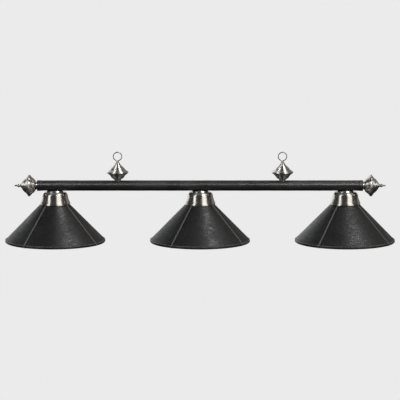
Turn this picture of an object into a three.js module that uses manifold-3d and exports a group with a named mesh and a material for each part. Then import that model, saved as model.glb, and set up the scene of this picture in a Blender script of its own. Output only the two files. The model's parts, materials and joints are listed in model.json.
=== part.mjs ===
// Three-shade billiard lamp: a leather-covered bar hung from two wire eyes, with three leather cone
// shades on spun stainless caps, and turned finials on the ends and under the eyes.
// Millimetres, +Z up, +X along the bar, -Y to the front. The origin is the hang point: halfway between
// the two eyes, level with the inside top of each eye, where a hook or chain link bears.

import * as THREE from 'three';
import { mergeVertices } from 'three/addons/utils/BufferGeometryUtils.js';
import Module from 'manifold-3d';

const wasm = await Module();
wasm.setup();

// ---------------------------------------------------------------- driving dimensions

const FIT_GAP = 0.3; // between two faces that touch
const TURN_GAP = 0.5; // between a piece that turns and the piece it turns on

const BAR = { length: 1270, tubeRadius: 19.05, tubeWall: 1.5, leatherRadius: 20.35 };
const SHADE_SPACING = 566;
const HANGER_SPACING = 321; // each hanger from the middle of the bar

const EYE = { wireRadius: 2, ringRadius: 16.4, centreHeight: 114, headRadius: 3.4 };
const HANG_HEIGHT = EYE.centreHeight + EYE.ringRadius - EYE.wireRadius; // above the bar's axis

const STUD = { radius: 4, tipRadius: 3, tipDepth: 8 };
const FINIAL = { footRadius: 11.5, rimRadius: 42.4, cupHeight: 31, wall: 1.4, neckRadius: 6 };
const HANGER_FOOT = { radius: 10.5, saddleDepth: 8 };
const END_PLUG = { depth: 16, face: 0.2 };
const END_FOOT = { radius: 15, length: 3.5 };
const END_NECK = { height: 33, radius: 5.8 };
const HANGER_STEM = { bottom: 7.5, headPocket: [28.5, 33] };

const NIPPLE = { radius: 5, bore: 3.4, top: -8, bottom: -42 };
const NUT = { acrossFlats: 14, thickness: 4.2 };
const COLLAR = { radius: 33, top: -19, bottom: -25.2, bevelWidth: 4, edgeHeight: 2.6 };
const CAP = { top: -25.5, bottom: -72.7, lipRadius: 59.5, wall: 1.3 };

const HOLDER = { radius: 19.5, top: -32, topRadius: 12, bottom: -88, nippleDepth: 18 };
const HOLDER_SHOULDER = { radius: 23.5, top: -60, bottom: -63.2 };
const SHELL_CUP = { outer: 14.6, inner: 13.8, top: -57.3, bottom: -85.4 };
const SHADE_RING = { outer: 26, top: -65.4, bottom: -70.5 };

// The shade's outside is a cone that is 75.5 in radius 92 below the bar's axis, ending in a rolled rim.
const CONE = { radius: 75.5, height: -92, slope: 0.978, leatherTop: -66.5 };
const CROWN = { top: -63.7, bottom: -64.9, hole: 20.2 };
const RIM = { height: -217.1, radius: 5 };
const LEATHER_THICKNESS = 1.4;
const SHEET_THICKNESS = 1;

const BULB = { baseRadius: 13, baseTop: -60, neck: -84.7, tip: -168, wall: 1.2 };
const LEAD_RADIUS = 2.2;
const SPLICE = { from: 25, to: 55, width: 15, height: 12 };
const GROMMET = { x: 90, bore: 3.6, flangeRadius: 8, face: 22.5 };
const GROMMET_NECK = { radius: 6, from: 15, to: 21.5 };
const GROMMET_LIP = { radius: 7.2, from: 13.2, to: 15.2 };

// How many sides a round piece has, by its size
const SIDES = { small: 12, medium: 16, cap: 20, shade: 32 };
const CURVE_PARTS = { hole: 6, lead: 4 }; // for each curve of a drawn outline

// ---------------------------------------------------------------- finishes

const FINISH = {
  leather: { color: 0x27292a, roughness: 0.62, metalness: 0 },
  stainless: { color: 0xb7b3ac, roughness: 0.24, metalness: 1 },
  steel: { color: 0x6f7275, roughness: 0.45, metalness: 1 },
  zinc: { color: 0x9ea1a4, roughness: 0.38, metalness: 1 },
  brass: { color: 0xb08d4a, roughness: 0.35, metalness: 1 },
  enamel: { color: 0xf2efe8, roughness: 0.35, metalness: 0 },
  phenolic: { color: 0x1b1918, roughness: 0.4, metalness: 0 },
  opal: { color: 0xf7f5ef, roughness: 0.25, metalness: 0 },
  rubber: { color: 0x161616, roughness: 0.8, metalness: 0 },
  insulation: { color: 0x2b2b2d, roughness: 0.5, metalness: 0 },
  nylon: { color: 0xd8d4c6, roughness: 0.5, metalness: 0 },
};

// ---------------------------------------------------------------- solids

const WELD_DISTANCE = 1e-3;

/** Six times the volume that a triangle mesh encloses, negative if its faces point in. */
function signedVolume(geometry) {
  const position = geometry.getAttribute('position');
  const corners = [new THREE.Vector3(), new THREE.Vector3(), new THREE.Vector3()];
  const index = geometry.index.array;
  let total = 0;
  for (let i = 0; i < index.length; i += 3) {
    corners.forEach((corner, k) => corner.fromBufferAttribute(position, index[i + k]));
    total += corners[0].dot(corners[1].cross(corners[2]));
  }
  return total;
}

/** Welds a geometry into one closed surface with its faces pointing out. */
function closedSolid(geometry) {
  geometry.deleteAttribute('normal');
  geometry.deleteAttribute('uv');
  const welded = mergeVertices(geometry, WELD_DISTANCE);
  const index = [];
  for (let i = 0; i < welded.index.count; i += 3) {
    const [a, b, c] = welded.index.array.slice(i, i + 3);
    if (a !== b && b !== c && c !== a) {
      index.push(a, b, c);
    }
  }
  welded.setIndex(index);
  if (signedVolume(welded) < 0) {
    welded.setIndex(index.reverse());
  }
  return welded;
}

/** Turns an outline of [radius, height] points about Z. It ends on the axis or closes on itself. */
function turned(outline, sides) {
  const points = outline.map(([radius, height]) => new THREE.Vector2(radius, height));
  const onAxis = outline[0][0] === 0 && outline.at(-1)[0] === 0;
  if (!onAxis) {
    points.push(points[0].clone());
  }
  return closedSolid(new THREE.LatheGeometry(points, sides).rotateX(Math.PI / 2));
}

/** A plain ring or tube between two radii and two heights. */
function ring(inner, outer, bottom, top, sides) {
  return turned([[inner, bottom], [outer, bottom], [outer, top], [inner, top]], sides);
}

/** A rod about Z between two heights. */
function rod(radius, bottom, top, sides) {
  return turned([[0, bottom], [radius, bottom], [radius, top], [0, top]], sides);
}

/** How far from the bar's axis a nut's flat face can lie before its corners touch the tube. */
const NUT_CORNER = NUT.acrossFlats / Math.sqrt(3);
const NUT_SEAT = Math.sqrt((BAR.tubeRadius - BAR.tubeWall) ** 2 - NUT_CORNER ** 2) - FIT_GAP;

/** A hexagon nut with a plain hole, its lower face at the given height. */
function hexNut(bottom, holeRadius) {
  const outline = new THREE.Shape();
  for (let i = 0; i < 6; i += 1) {
    const angle = (i * Math.PI) / 3;
    const point = [NUT_CORNER * Math.cos(angle), NUT_CORNER * Math.sin(angle)];
    if (i === 0) {
      outline.moveTo(...point);
    } else {
      outline.lineTo(...point);
    }
  }
  outline.holes.push(new THREE.Path().absarc(0, 0, holeRadius, 0, 2 * Math.PI, true));
  const settings = { depth: NUT.thickness, bevelEnabled: false, curveSegments: CURVE_PARTS.hole };
  return closedSolid(new THREE.ExtrudeGeometry(outline, settings).translate(0, 0, bottom));
}

/** A round lead along a smooth route. */
function lead(route, steps) {
  const points = route.map((point) => new THREE.Vector3(...point));
  const path = new THREE.CatmullRomCurve3(points, false, 'centripetal');
  const section = new THREE.Shape().absarc(0, 0, LEAD_RADIUS, 0, 2 * Math.PI);
  const settings = { extrudePath: path, steps, curveSegments: CURVE_PARTS.lead, bevelEnabled: false };
  return closedSolid(new THREE.ExtrudeGeometry(section, settings));
}

/** The same solid in the form that the joining and cutting library takes. */
function asManifold(geometry) {
  const vertProperties = Float32Array.from(geometry.getAttribute('position').array);
  const triVerts = Uint32Array.from(geometry.index.array);
  return new wasm.Manifold(new wasm.Mesh({ numProp: 3, vertProperties, triVerts }));
}

/** A joined or cut solid as a three.js geometry. */
function asGeometry(manifold) {
  const mesh = manifold.getMesh();
  const geometry = new THREE.BufferGeometry();
  geometry.setAttribute('position', new THREE.BufferAttribute(mesh.vertProperties, 3));
  geometry.setIndex(new THREE.BufferAttribute(mesh.triVerts, 1));
  return geometry;
}

/** One solid made of several that overlap. */
function joined(first, ...others) {
  return asGeometry(others.reduce((whole, other) => whole.add(asManifold(other)), asManifold(first)));
}

/** A solid with others taken away from it. */
function cut(geometry, ...tools) {
  return asGeometry(tools.reduce((left, tool) => left.subtract(asManifold(tool)), asManifold(geometry)));
}

/** The part of the bar's space that a saddle face is cut to. */
function barSpace() {
  const halfLength = 60;
  const space = rod(BAR.leatherRadius + FIT_GAP, -halfLength, halfLength, SIDES.cap);
  return space.rotateY(Math.PI / 2);
}

/** A named piece with a material of its own. */
function piece(name, geometry, finish) {
  const mesh = new THREE.Mesh(geometry, new THREE.MeshStandardMaterial(finish));
  mesh.name = name;
  return mesh;
}

/** A group of pieces at one place. */
function unit(pieces, x = 0, height = 0) {
  const group = new THREE.Group();
  group.add(...pieces);
  group.position.set(x, 0, height);
  return group;
}

/** Points on an arc of the outline, from one angle to another in degrees. */
function arc([radius, height], size, from, to, steps) {
  const points = [];
  for (let i = 0; i <= steps; i += 1) {
    const angle = THREE.MathUtils.degToRad(from + ((to - from) * i) / steps);
    points.push([radius + size * Math.cos(angle), height + size * Math.sin(angle)]);
  }
  return points;
}

// ---------------------------------------------------------------- bar

/** What is cut out of the bar's wall for the nipples, the hanger stems and the grommet. */
function barHoles() {
  const reach = 1.25 * BAR.leatherRadius;
  const holes = [];
  for (const x of [-SHADE_SPACING, 0, SHADE_SPACING]) {
    holes.push(rod(NIPPLE.radius + FIT_GAP, -reach, 0, SIDES.small).translate(x, 0, 0));
  }
  for (const x of [-HANGER_SPACING, HANGER_SPACING]) {
    holes.push(rod(STUD.radius + FIT_GAP, 0, reach, SIDES.small).translate(x, 0, 0));
  }
  const inlet = rod(GROMMET_NECK.radius + FIT_GAP, 0, reach, SIDES.small).rotateX(-Math.PI / 2);
  holes.push(inlet.translate(GROMMET.x, 0, 0));
  return holes;
}

/** A straight sleeve along the bar, with its holes. */
function barSleeve(inner, outer, length) {
  const sleeve = ring(inner, outer, -length / 2, length / 2, SIDES.cap).rotateY(Math.PI / 2);
  return cut(sleeve, ...barHoles());
}

/** The rubber grommet at the back of the bar, where the supply cord comes in. */
function cordGrommet() {
  const { bore, flangeRadius, face, x } = GROMMET;
  const lip = ring(bore, GROMMET_LIP.radius, GROMMET_LIP.from, GROMMET_LIP.to, SIDES.small);
  const neck = ring(bore, GROMMET_NECK.radius, GROMMET_NECK.from, GROMMET_NECK.to, SIDES.small);
  const flange = ring(bore, flangeRadius, GROMMET_NECK.from, face, SIDES.small);
  const toTheBack = -Math.PI / 2;
  const seated = cut(flange.rotateX(toTheBack), barSpace());
  return joined(seated, lip.rotateX(toTheBack), neck.rotateX(toTheBack)).translate(x, 0, 0);
}

function bar() {
  const tubeInner = BAR.tubeRadius - BAR.tubeWall;
  const endTurn = 1;
  const spliceLength = SPLICE.to - SPLICE.from;
  const splice = new THREE.BoxGeometry(spliceLength, SPLICE.width, SPLICE.height);
  splice.translate((SPLICE.from + SPLICE.to) / 2, 0, 0);
  return unit([
    piece('bar_tube', barSleeve(tubeInner, BAR.tubeRadius, BAR.length - 2 * endTurn), FINISH.steel),
    piece('bar_leather', barSleeve(BAR.tubeRadius + FIT_GAP, BAR.leatherRadius, BAR.length), FINISH.leather),
    piece('cord_grommet', cordGrommet(), FINISH.rubber),
    piece('splice_block', closedSolid(splice), FINISH.nylon),
  ]);
}

// ---------------------------------------------------------------- finials

const CUP_OUTSIDE = [[23, 9], [29.4, 17.5], [40.6, 27.2]];
const CUP_INSIDE = [[38.8, 28.2], [28, 18.7], [21.6, 9.9]];
const CONE_OUTSIDE = [[40.4, 4], [29, 12.2], [25.4, 17.3]];
const CONE_INSIDE = [[23.6, 16.6], [27.5, 11.2], [38.6, 3.2]];
const RIM_LAND = 2.4; // width of the flat edge where cup and cone meet

/** The spun cup of a finial, its rim up and its foot at height 0 with the outline given. */
function finialCup(footOutline) {
  const { footRadius, rimRadius, cupHeight, wall } = FINIAL;
  return turned([
    ...footOutline,
    ...CUP_OUTSIDE,
    [rimRadius, cupHeight],
    [rimRadius - RIM_LAND, cupHeight],
    ...CUP_INSIDE,
    [footRadius - wall / 2, wall],
    [STUD.radius + FIT_GAP, wall],
  ], SIDES.medium);
}

/** The cone of a finial starts at this height above the foot of its cup. */
const CONE_BASE = FINIAL.cupHeight + FIT_GAP;


const TIP_BORE = STUD.tipRadius + FIT_GAP;
const TIP_OUTSIDE = [[5.2, 0], [5.2, 3], [6.7, 7], [4.6, 11], [3, 15], [3, 22], [0, 23.5]];

/** The solid plug in the end of the tube, with the stud that carries the finial. */
function endPlug(coneEnd) {
  const { radius, tipRadius, tipDepth } = STUD;
  const plugRadius = BAR.tubeRadius - BAR.tubeWall - FIT_GAP;
  const shoulder = coneEnd - 4.5;
  return turned([
    [0, -END_PLUG.depth],
    [plugRadius, -END_PLUG.depth],
    [plugRadius, -1],
    [END_FOOT.radius, END_PLUG.face],
    [radius, END_PLUG.face],
    [radius, shoulder],
    [tipRadius, shoulder],
    [tipRadius, coneEnd + tipDepth],
    [0, coneEnd + tipDepth],
  ], SIDES.medium);
}

/** The spun cone of an end finial, its rim at height 0 and its neck up. */
function endCone() {
  const { rimRadius } = FINIAL;
  const { height, radius } = END_NECK;
  return turned([
    [TIP_BORE, height],
    [TIP_BORE, height - 3],
    [8.6, height - 4],
    ...CONE_INSIDE,
    [rimRadius - RIM_LAND, 0],
    [rimRadius, 0],
    ...CONE_OUTSIDE,
    [10.5, height - 3.5],
    [radius, height],
  ], SIDES.medium);
}

/** The turned knob that is screwed onto the end of the stud. */
function endTip() {
  const boreDepth = STUD.tipDepth + FIT_GAP;
  return turned([[0, boreDepth], [TIP_BORE, boreDepth], [TIP_BORE, 0], ...TIP_OUTSIDE], SIDES.small);
}

function endFinial(side, turn) {
  const foot = END_PLUG.face + FIT_GAP;
  const coneBase = foot + CONE_BASE;
  const coneEnd = coneBase + END_NECK.height;
  const footOutline = [[STUD.radius + FIT_GAP, 0], [END_FOOT.radius, 0], [END_FOOT.radius, END_FOOT.length]];
  const group = unit([
    piece(`end_plug_${side}`, endPlug(coneEnd), FINISH.stainless),
    piece(`end_cup_${side}`, finialCup(footOutline).translate(0, 0, foot), FINISH.stainless),
    piece(`end_cone_${side}`, endCone().translate(0, 0, coneBase), FINISH.stainless),
    piece(`end_tip_${side}`, endTip().translate(0, 0, coneEnd + FIT_GAP), FINISH.stainless),
  ], (turn * BAR.length) / 2);
  group.rotation.y = (turn * Math.PI) / 2;
  return group;
}

/** The spun cone of a hanger, its rim at height 0, with its stem down and its neck up. */
function hangerCone(stemBottom, top) {
  const { rimRadius, neckRadius } = FINIAL;
  const bore = EYE.wireRadius + FIT_GAP;
  const pocket = EYE.headRadius + TURN_GAP;
  const [pocketBottom, pocketTop] = HANGER_STEM.headPocket;
  return turned([
    [0, stemBottom],
    [STUD.radius, stemBottom],
    [STUD.radius, 24],
    ...CONE_INSIDE,
    [rimRadius - RIM_LAND, 0],
    [rimRadius, 0],
    ...CONE_OUTSIDE,
    [12, 30],
    [neckRadius, 38],
    [neckRadius, top],
    [bore, top],
    [bore, pocketTop],
    [pocket, pocketTop],
    [pocket, pocketBottom],
    [0, pocketBottom],
  ], SIDES.medium);
}

/** A wire loop in the XZ plane on a shank whose head swivels in the hanger's neck. */
function wireEye(headTop) {
  const { wireRadius, ringRadius, headRadius } = EYE;
  const headThickness = 2.5;
  const wire = arc([ringRadius, 0], wireRadius, 0, 300, 5);
  const loop = turned(wire, SIDES.cap).rotateX(Math.PI / 2);
  const shank = turned([
    [0, -ringRadius],
    [wireRadius, -ringRadius],
    [wireRadius, headTop],
    [headRadius, headTop],
    [headRadius, headTop - headThickness],
    [0, headTop - headThickness],
  ], SIDES.small);
  return joined(loop, shank);
}

function hanger(side, turn) {
  const { centreHeight, ringRadius, wireRadius } = EYE;
  const foot = BAR.leatherRadius + FIT_GAP;
  const coneBase = foot + CONE_BASE;
  const stemBottom = HANGER_STEM.bottom - coneBase;
  const top = centreHeight - ringRadius - wireRadius - FIT_GAP - coneBase;
  const headTop = coneBase + HANGER_STEM.headPocket[1] - TURN_GAP - centreHeight;
  const saddle = [
    [STUD.radius + FIT_GAP, -HANGER_FOOT.saddleDepth],
    [HANGER_FOOT.radius, -HANGER_FOOT.saddleDepth],
    [FINIAL.footRadius, 0],
  ];
  const cup = cut(finialCup(saddle).translate(0, 0, foot), barSpace());
  return unit([
    piece(`hanger_nut_${side}`, hexNut(NUT_SEAT - NUT.thickness, STUD.radius + FIT_GAP), FINISH.zinc),
    piece(`hanger_cup_${side}`, cup, FINISH.stainless),
    piece(`hanger_cone_${side}`, hangerCone(stemBottom, top).translate(0, 0, coneBase), FINISH.stainless),
    piece(`eye_${side}`, wireEye(headTop).translate(0, 0, centreHeight), FINISH.stainless),
  ], turn * HANGER_SPACING);
}

// ---------------------------------------------------------------- shades

/** The radius of the shade's cone at a height, at some depth under its leather face. */
function coneRadius(height, depth) {
  const acrossWall = Math.hypot(1, CONE.slope);
  return CONE.radius + CONE.slope * (CONE.height - height) - depth * acrossWall;
}

/** The rolled rim's centre: its leather face runs into the cone's face without a step. */
const RIM_CENTRE = [coneRadius(RIM.height, RIM.radius), RIM.height];
const FACE_ANGLE = THREE.MathUtils.radToDeg(Math.atan(CONE.slope)); // the outward normal of the cone's face
const HEM_END = -180; // the leather goes round the rim to its inner side
const ROLL_STEPS = 4;

function shadeLeather() {
  return turned([
    [coneRadius(CONE.leatherTop, 0), CONE.leatherTop],
    ...arc(RIM_CENTRE, RIM.radius, FACE_ANGLE, HEM_END, ROLL_STEPS),
    ...arc(RIM_CENTRE, RIM.radius - LEATHER_THICKNESS, HEM_END, FACE_ANGLE, ROLL_STEPS),
    [coneRadius(CONE.leatherTop, LEATHER_THICKNESS), CONE.leatherTop],
  ], SIDES.shade);
}

function shadeShell() {
  const sheetOutside = LEATHER_THICKNESS + FIT_GAP;
  const sheetInside = sheetOutside + SHEET_THICKNESS;
  const rolled = RIM.radius - sheetOutside;
  const [rimRadius, rimHeight] = RIM_CENTRE;
  return turned([
    [CROWN.hole, CROWN.top],
    [coneRadius(CROWN.top, sheetOutside), CROWN.top],
    ...arc(RIM_CENTRE, rolled, FACE_ANGLE, HEM_END, ROLL_STEPS),
    [rimRadius, rimHeight + rolled],
    [coneRadius(CROWN.bottom, sheetInside), CROWN.bottom],
    [CROWN.hole, CROWN.bottom],
  ], SIDES.shade);
}

const CAP_OUTSIDE = [[40, CAP.top], [49.5, -33], [51.5, -47], [59.2, -66.5]];
const CAP_INSIDE = [[57.9, -66.8], [50.2, -47.4], [48.2, -33.5], [39.4, CAP.top - CAP.wall]];

function cap() {
  const hole = NIPPLE.radius + FIT_GAP;
  return turned([
    [hole, CAP.top],
    ...CAP_OUTSIDE,
    [CAP.lipRadius, CAP.bottom],
    [CAP.lipRadius - CAP.wall, CAP.bottom],
    ...CAP_INSIDE,
    [hole, CAP.top - CAP.wall],
  ], SIDES.cap);
}

function capCollar() {
  const hole = NIPPLE.radius + FIT_GAP;
  const { radius, top, bottom, bevelWidth, edgeHeight } = COLLAR;
  const blank = turned([
    [hole, bottom],
    [radius, bottom],
    [radius, bottom + edgeHeight],
    [radius - bevelWidth, top],
    [hole, top],
  ], SIDES.cap);
  return cut(blank, barSpace());
}

function lampholder() {
  const bore = NIPPLE.radius + FIT_GAP;
  const cavity = SHELL_CUP.outer + FIT_GAP;
  const cavityTop = SHELL_CUP.top + FIT_GAP;
  const { radius, top, topRadius, bottom, nippleDepth } = HOLDER;
  const bevelHeight = 6;
  return turned([
    [0, top - nippleDepth],
    [bore, top - nippleDepth],
    [bore, top],
    [topRadius, top],
    [radius, top - bevelHeight],
    [radius, HOLDER_SHOULDER.top],
    [HOLDER_SHOULDER.radius, HOLDER_SHOULDER.top],
    [HOLDER_SHOULDER.radius, HOLDER_SHOULDER.bottom],
    [radius, HOLDER_SHOULDER.bottom],
    [radius, bottom],
    [cavity, bottom],
    [cavity, cavityTop],
    [0, cavityTop],
  ], SIDES.small);
}

function screwShell() {
  const sheet = SHELL_CUP.outer - SHELL_CUP.inner;
  const lip = 9;
  return turned([
    [lip, SHELL_CUP.top],
    [SHELL_CUP.outer, SHELL_CUP.top],
    [SHELL_CUP.outer, SHELL_CUP.bottom],
    [SHELL_CUP.inner, SHELL_CUP.bottom],
    [SHELL_CUP.inner, SHELL_CUP.top - sheet],
    [lip, SHELL_CUP.top - sheet],
  ], SIDES.small);
}

const GLASS_OUTSIDE = [[15, -164.5], [26.5, -153], [30, -138], [27, -122], [16, -99]];

function bulbGlass() {
  const start = BULB.neck - FIT_GAP;
  const inside = GLASS_OUTSIDE.map(([radius, height]) => [radius - BULB.wall, height + 0.3]).reverse();
  return turned([
    [0, BULB.tip],
    ...GLASS_OUTSIDE,
    [BULB.baseRadius, start],
    [BULB.baseRadius - BULB.wall, start],
    ...inside,
    [0, BULB.tip + BULB.wall],
  ], SIDES.small);
}

function bulbBase() {
  const contact = { radius: 4, top: BULB.baseTop + 1.6 };
  const bevel = 3;
  const threadTop = BULB.baseTop - 5;
  return turned([
    [0, contact.top],
    [contact.radius, contact.top],
    [BULB.baseRadius - bevel, BULB.baseTop - bevel],
    [BULB.baseRadius, threadTop],
    [BULB.baseRadius, BULB.neck],
    [0, BULB.neck],
  ], SIDES.small);
}

function shadeUnit(side, x) {
  const hole = NIPPLE.radius + FIT_GAP;
  const capNutBottom = CAP.top - CAP.wall - FIT_GAP - NUT.thickness;
  const nipple = ring(NIPPLE.bore, NIPPLE.radius, NIPPLE.bottom, NIPPLE.top, SIDES.small);
  const ringHole = HOLDER.radius + FIT_GAP;
  const shadeRing = ring(ringHole, SHADE_RING.outer, SHADE_RING.bottom, SHADE_RING.top, SIDES.small);
  return unit([
    piece(`nipple_${side}`, nipple, FINISH.zinc),
    piece(`bar_nut_${side}`, hexNut(-NUT_SEAT, hole), FINISH.zinc),
    piece(`cap_collar_${side}`, capCollar(), FINISH.stainless),
    piece(`cap_${side}`, cap(), FINISH.stainless),
    piece(`cap_nut_${side}`, hexNut(capNutBottom, hole), FINISH.zinc),
    piece(`lampholder_${side}`, lampholder(), FINISH.phenolic),
    piece(`screw_shell_${side}`, screwShell(), FINISH.brass),
    piece(`shade_ring_${side}`, shadeRing, FINISH.phenolic),
    piece(`shade_shell_${side}`, shadeShell(), FINISH.enamel),
    piece(`shade_leather_${side}`, shadeLeather(), FINISH.leather),
    piece(`bulb_base_${side}`, bulbBase(), FINISH.brass),
    piece(`bulb_glass_${side}`, bulbGlass(), FINISH.opal),
  ], x);
}

// ---------------------------------------------------------------- leads inside the bar

const LEAD_START = -46; // in the lampholder's top
const OVER_NIPPLE = [
  [0, 0, LEAD_START],
  [0, 0, -24],
  [0, 0, -6.5],
];

/** Each lead climbs its nipple, turns along the bar and ends at the splice block. */
function leads() {
  const end = FIT_GAP;
  const climb = (x) => OVER_NIPPLE.map(([, y, z]) => [x, y, z]);
  const leftRoute = [
    ...climb(-SHADE_SPACING),
    [-564.4, 0.3, -0.5],
    [-558, 1.4, 4.4],
    [-540, 4, 4],
    [-500, 6.5, -2],
    [-420, 7, -6],
    [-300, 7, -7],
    [-160, 7, -7],
    [-60, 7, -5],
    [0, 6.6, -1],
    [SPLICE.from - end - 8, 4.2, 0],
    [SPLICE.from - end, 4, 0],
  ];
  const centreRoute = [
    ...climb(0),
    [1.4, -0.4, -1.2],
    [7, -2.2, 1.6],
    [SPLICE.from - end - 8, -3.8, 0.4],
    [SPLICE.from - end, -4, 0],
  ];
  const rightRoute = [
    ...climb(SHADE_SPACING),
    [564.4, 0.3, -0.5],
    [558, 1.4, 4.4],
    [540, 4, 4],
    [500, 5, -2],
    [420, 5, -6],
    [300, 5, -7],
    [160, 4, -7],
    [90, 2, -3],
    [SPLICE.to + end + 8, 0.2, 0],
    [SPLICE.to + end, 0, 0],
  ];
  return unit([
    piece('lead_left', lead(leftRoute, 30), FINISH.insulation),
    piece('lead_centre', lead(centreRoute, 14), FINISH.insulation),
    piece('lead_right', lead(rightRoute, 30), FINISH.insulation),
  ]);
}

// ---------------------------------------------------------------- the whole lamp

const lamp = unit([
  bar(),
  leads(),
  endFinial('left', -1),
  endFinial('right', 1),
  hanger('left', -1),
  hanger('right', 1),
  shadeUnit('left', -SHADE_SPACING),
  shadeUnit('centre', 0),
  shadeUnit('right', SHADE_SPACING),
], 0, -HANG_HEIGHT);

const model = new THREE.Group();
model.add(lamp);

export default model;
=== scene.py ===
"""Three-shade billiard lamp.

A leather-covered bar hangs on two wire eyes and carries leather cone shades and spun metal fittings.
"""

import json  # noqa: E402
import logging  # noqa: E402
import math  # noqa: E402
from collections.abc import Callable, Sequence  # noqa: E402
from dataclasses import dataclass, field  # noqa: E402
from enum import Enum  # noqa: E402

import bpy  # noqa: E402
import numpy as np  # noqa: E402
from mathutils import Matrix, Vector  # noqa: E402

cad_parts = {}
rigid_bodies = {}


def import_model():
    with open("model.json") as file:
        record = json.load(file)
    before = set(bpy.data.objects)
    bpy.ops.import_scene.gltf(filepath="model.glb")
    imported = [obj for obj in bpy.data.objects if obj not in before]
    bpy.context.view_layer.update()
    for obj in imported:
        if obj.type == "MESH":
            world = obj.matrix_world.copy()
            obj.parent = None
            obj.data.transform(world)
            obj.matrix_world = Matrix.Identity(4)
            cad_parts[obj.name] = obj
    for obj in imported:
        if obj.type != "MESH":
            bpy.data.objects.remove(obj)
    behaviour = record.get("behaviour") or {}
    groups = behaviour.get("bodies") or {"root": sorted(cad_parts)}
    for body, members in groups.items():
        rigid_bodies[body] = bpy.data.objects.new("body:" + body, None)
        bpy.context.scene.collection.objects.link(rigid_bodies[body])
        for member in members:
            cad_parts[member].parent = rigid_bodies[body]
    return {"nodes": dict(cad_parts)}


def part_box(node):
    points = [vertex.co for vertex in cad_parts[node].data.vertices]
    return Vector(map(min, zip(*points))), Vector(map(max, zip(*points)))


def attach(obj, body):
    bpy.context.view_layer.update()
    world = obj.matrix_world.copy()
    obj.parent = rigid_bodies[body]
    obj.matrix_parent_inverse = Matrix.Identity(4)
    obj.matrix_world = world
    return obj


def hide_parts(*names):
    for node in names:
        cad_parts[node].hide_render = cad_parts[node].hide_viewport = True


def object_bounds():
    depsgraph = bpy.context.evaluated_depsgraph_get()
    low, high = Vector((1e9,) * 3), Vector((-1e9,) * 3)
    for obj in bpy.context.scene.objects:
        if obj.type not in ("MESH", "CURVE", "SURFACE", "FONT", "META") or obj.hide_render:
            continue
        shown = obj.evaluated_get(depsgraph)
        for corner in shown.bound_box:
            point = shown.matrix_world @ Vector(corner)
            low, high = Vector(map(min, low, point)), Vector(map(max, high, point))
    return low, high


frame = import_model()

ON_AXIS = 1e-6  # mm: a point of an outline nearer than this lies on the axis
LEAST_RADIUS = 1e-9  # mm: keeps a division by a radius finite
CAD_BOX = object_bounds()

log = logging.getLogger("lamp")

MM = 0.001
Point = tuple[float, float]
Colour = tuple[float, float, float]
Value = float | bpy.types.NodeSocket

SIDES = ("left", "centre", "right")
ENDS = (("left", -1), ("right", 1))


# ------------------------------------------------------------------ outlines


def through(points: Sequence[Point], per_span: int = 5) -> list[Point]:
    """Runs a smooth curve through some points.

    Args:
        points: The points in order.
        per_span: How many short lines each span becomes.

    Returns:
        Points on the curve, the given ones among them.
    """
    p = np.asarray(points, float)
    ends = np.vstack([2 * p[0] - p[1], p, 2 * p[-1] - p[-2]])
    made: list[Point] = []
    for i in range(1, len(ends) - 2):
        quad = ends[i - 1 : i + 3]
        knots = np.concatenate([[0.0], np.cumsum(np.sqrt(np.linalg.norm(np.diff(quad, axis=0), axis=1)))])
        for t in np.linspace(knots[1], knots[2], per_span, endpoint=False):
            level = quad
            for depth in (1, 2, 3):
                low, high = knots[: 4 - depth], knots[depth:]
                if depth == 2:
                    low, high = knots[:2], knots[2:]
                if depth == 3:
                    low, high = knots[1:2], knots[2:3]
                share = ((t - low) / (high - low))[:, None]
                level = (1 - share) * level[:-1] + share * level[1:]
            made.append((float(level[0][0]), float(level[0][1])))
    made.append((float(p[-1][0]), float(p[-1][1])))
    return made


def eased(points: Sequence[Point], radius: float, steps: int = 3, closed: bool = True) -> list[Point]:
    """Rounds the corners of an outline, and puts a point on each side of a corner to keep the flats flat.

    Args:
        points: The outline.
        radius: The radius of a rounded corner.
        steps: How many short lines a corner becomes.
        closed: Whether the outline's last point joins its first.

    Returns:
        The outline with its corners rounded.
    """
    least_turn = math.radians(14)
    made: list[Point] = []
    count = len(points)
    for i, here in enumerate(points):
        if not closed and i in (0, count - 1):
            made.append((float(here[0]), float(here[1])))
            continue
        p = np.asarray(here, float)
        back = np.asarray(points[i - 1], float) - p
        on = np.asarray(points[(i + 1) % count], float) - p
        back_length, on_length = np.linalg.norm(back), np.linalg.norm(on)
        back, on = back / back_length, on / on_length
        turn = math.pi - math.acos(float(np.clip(back @ on, -1, 1)))
        if turn < least_turn:
            made.append((float(p[0]), float(p[1])))
            continue
        cut = min(radius * math.tan(turn / 2), 0.36 * back_length, 0.36 * on_length)
        made.append(tuple(p + back * cut * 1.25))
        for k in range(steps + 1):
            t = k / steps
            made.append(tuple((1 - t) ** 2 * (p + back * cut) + 2 * t * (1 - t) * p + t * t * (p + on * cut)))
        made.append(tuple(p + on * cut * 1.25))
    return made


def arc(centre: Point, radius: float, start: float, end: float, steps: int) -> list[Point]:
    """Points on an arc, from one angle to another in degrees.

    Args:
        centre: The arc's centre.
        radius: Its radius.
        start: The first point's angle.
        end: The last point's angle.
        steps: How many short lines it becomes.

    Returns:
        The points, first and last included.
    """
    angles = np.radians(np.linspace(start, end, steps + 1))
    return [(centre[0] + radius * math.cos(a), centre[1] + radius * math.sin(a)) for a in angles]


def spaced(start: Point, end: Point, pitch: float) -> list[Point]:
    """Points along a straight line, no further apart than a pitch.

    Args:
        start: The first point.
        end: The last point.
        pitch: The longest step.

    Returns:
        The points, first and last included.
    """
    steps = max(1, math.ceil(math.dist(start, end) / pitch))
    return [tuple(np.asarray(start) + (np.asarray(end) - np.asarray(start)) * i / steps)
            for i in range(steps + 1)]


# ------------------------------------------------------------------ meshes


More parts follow.
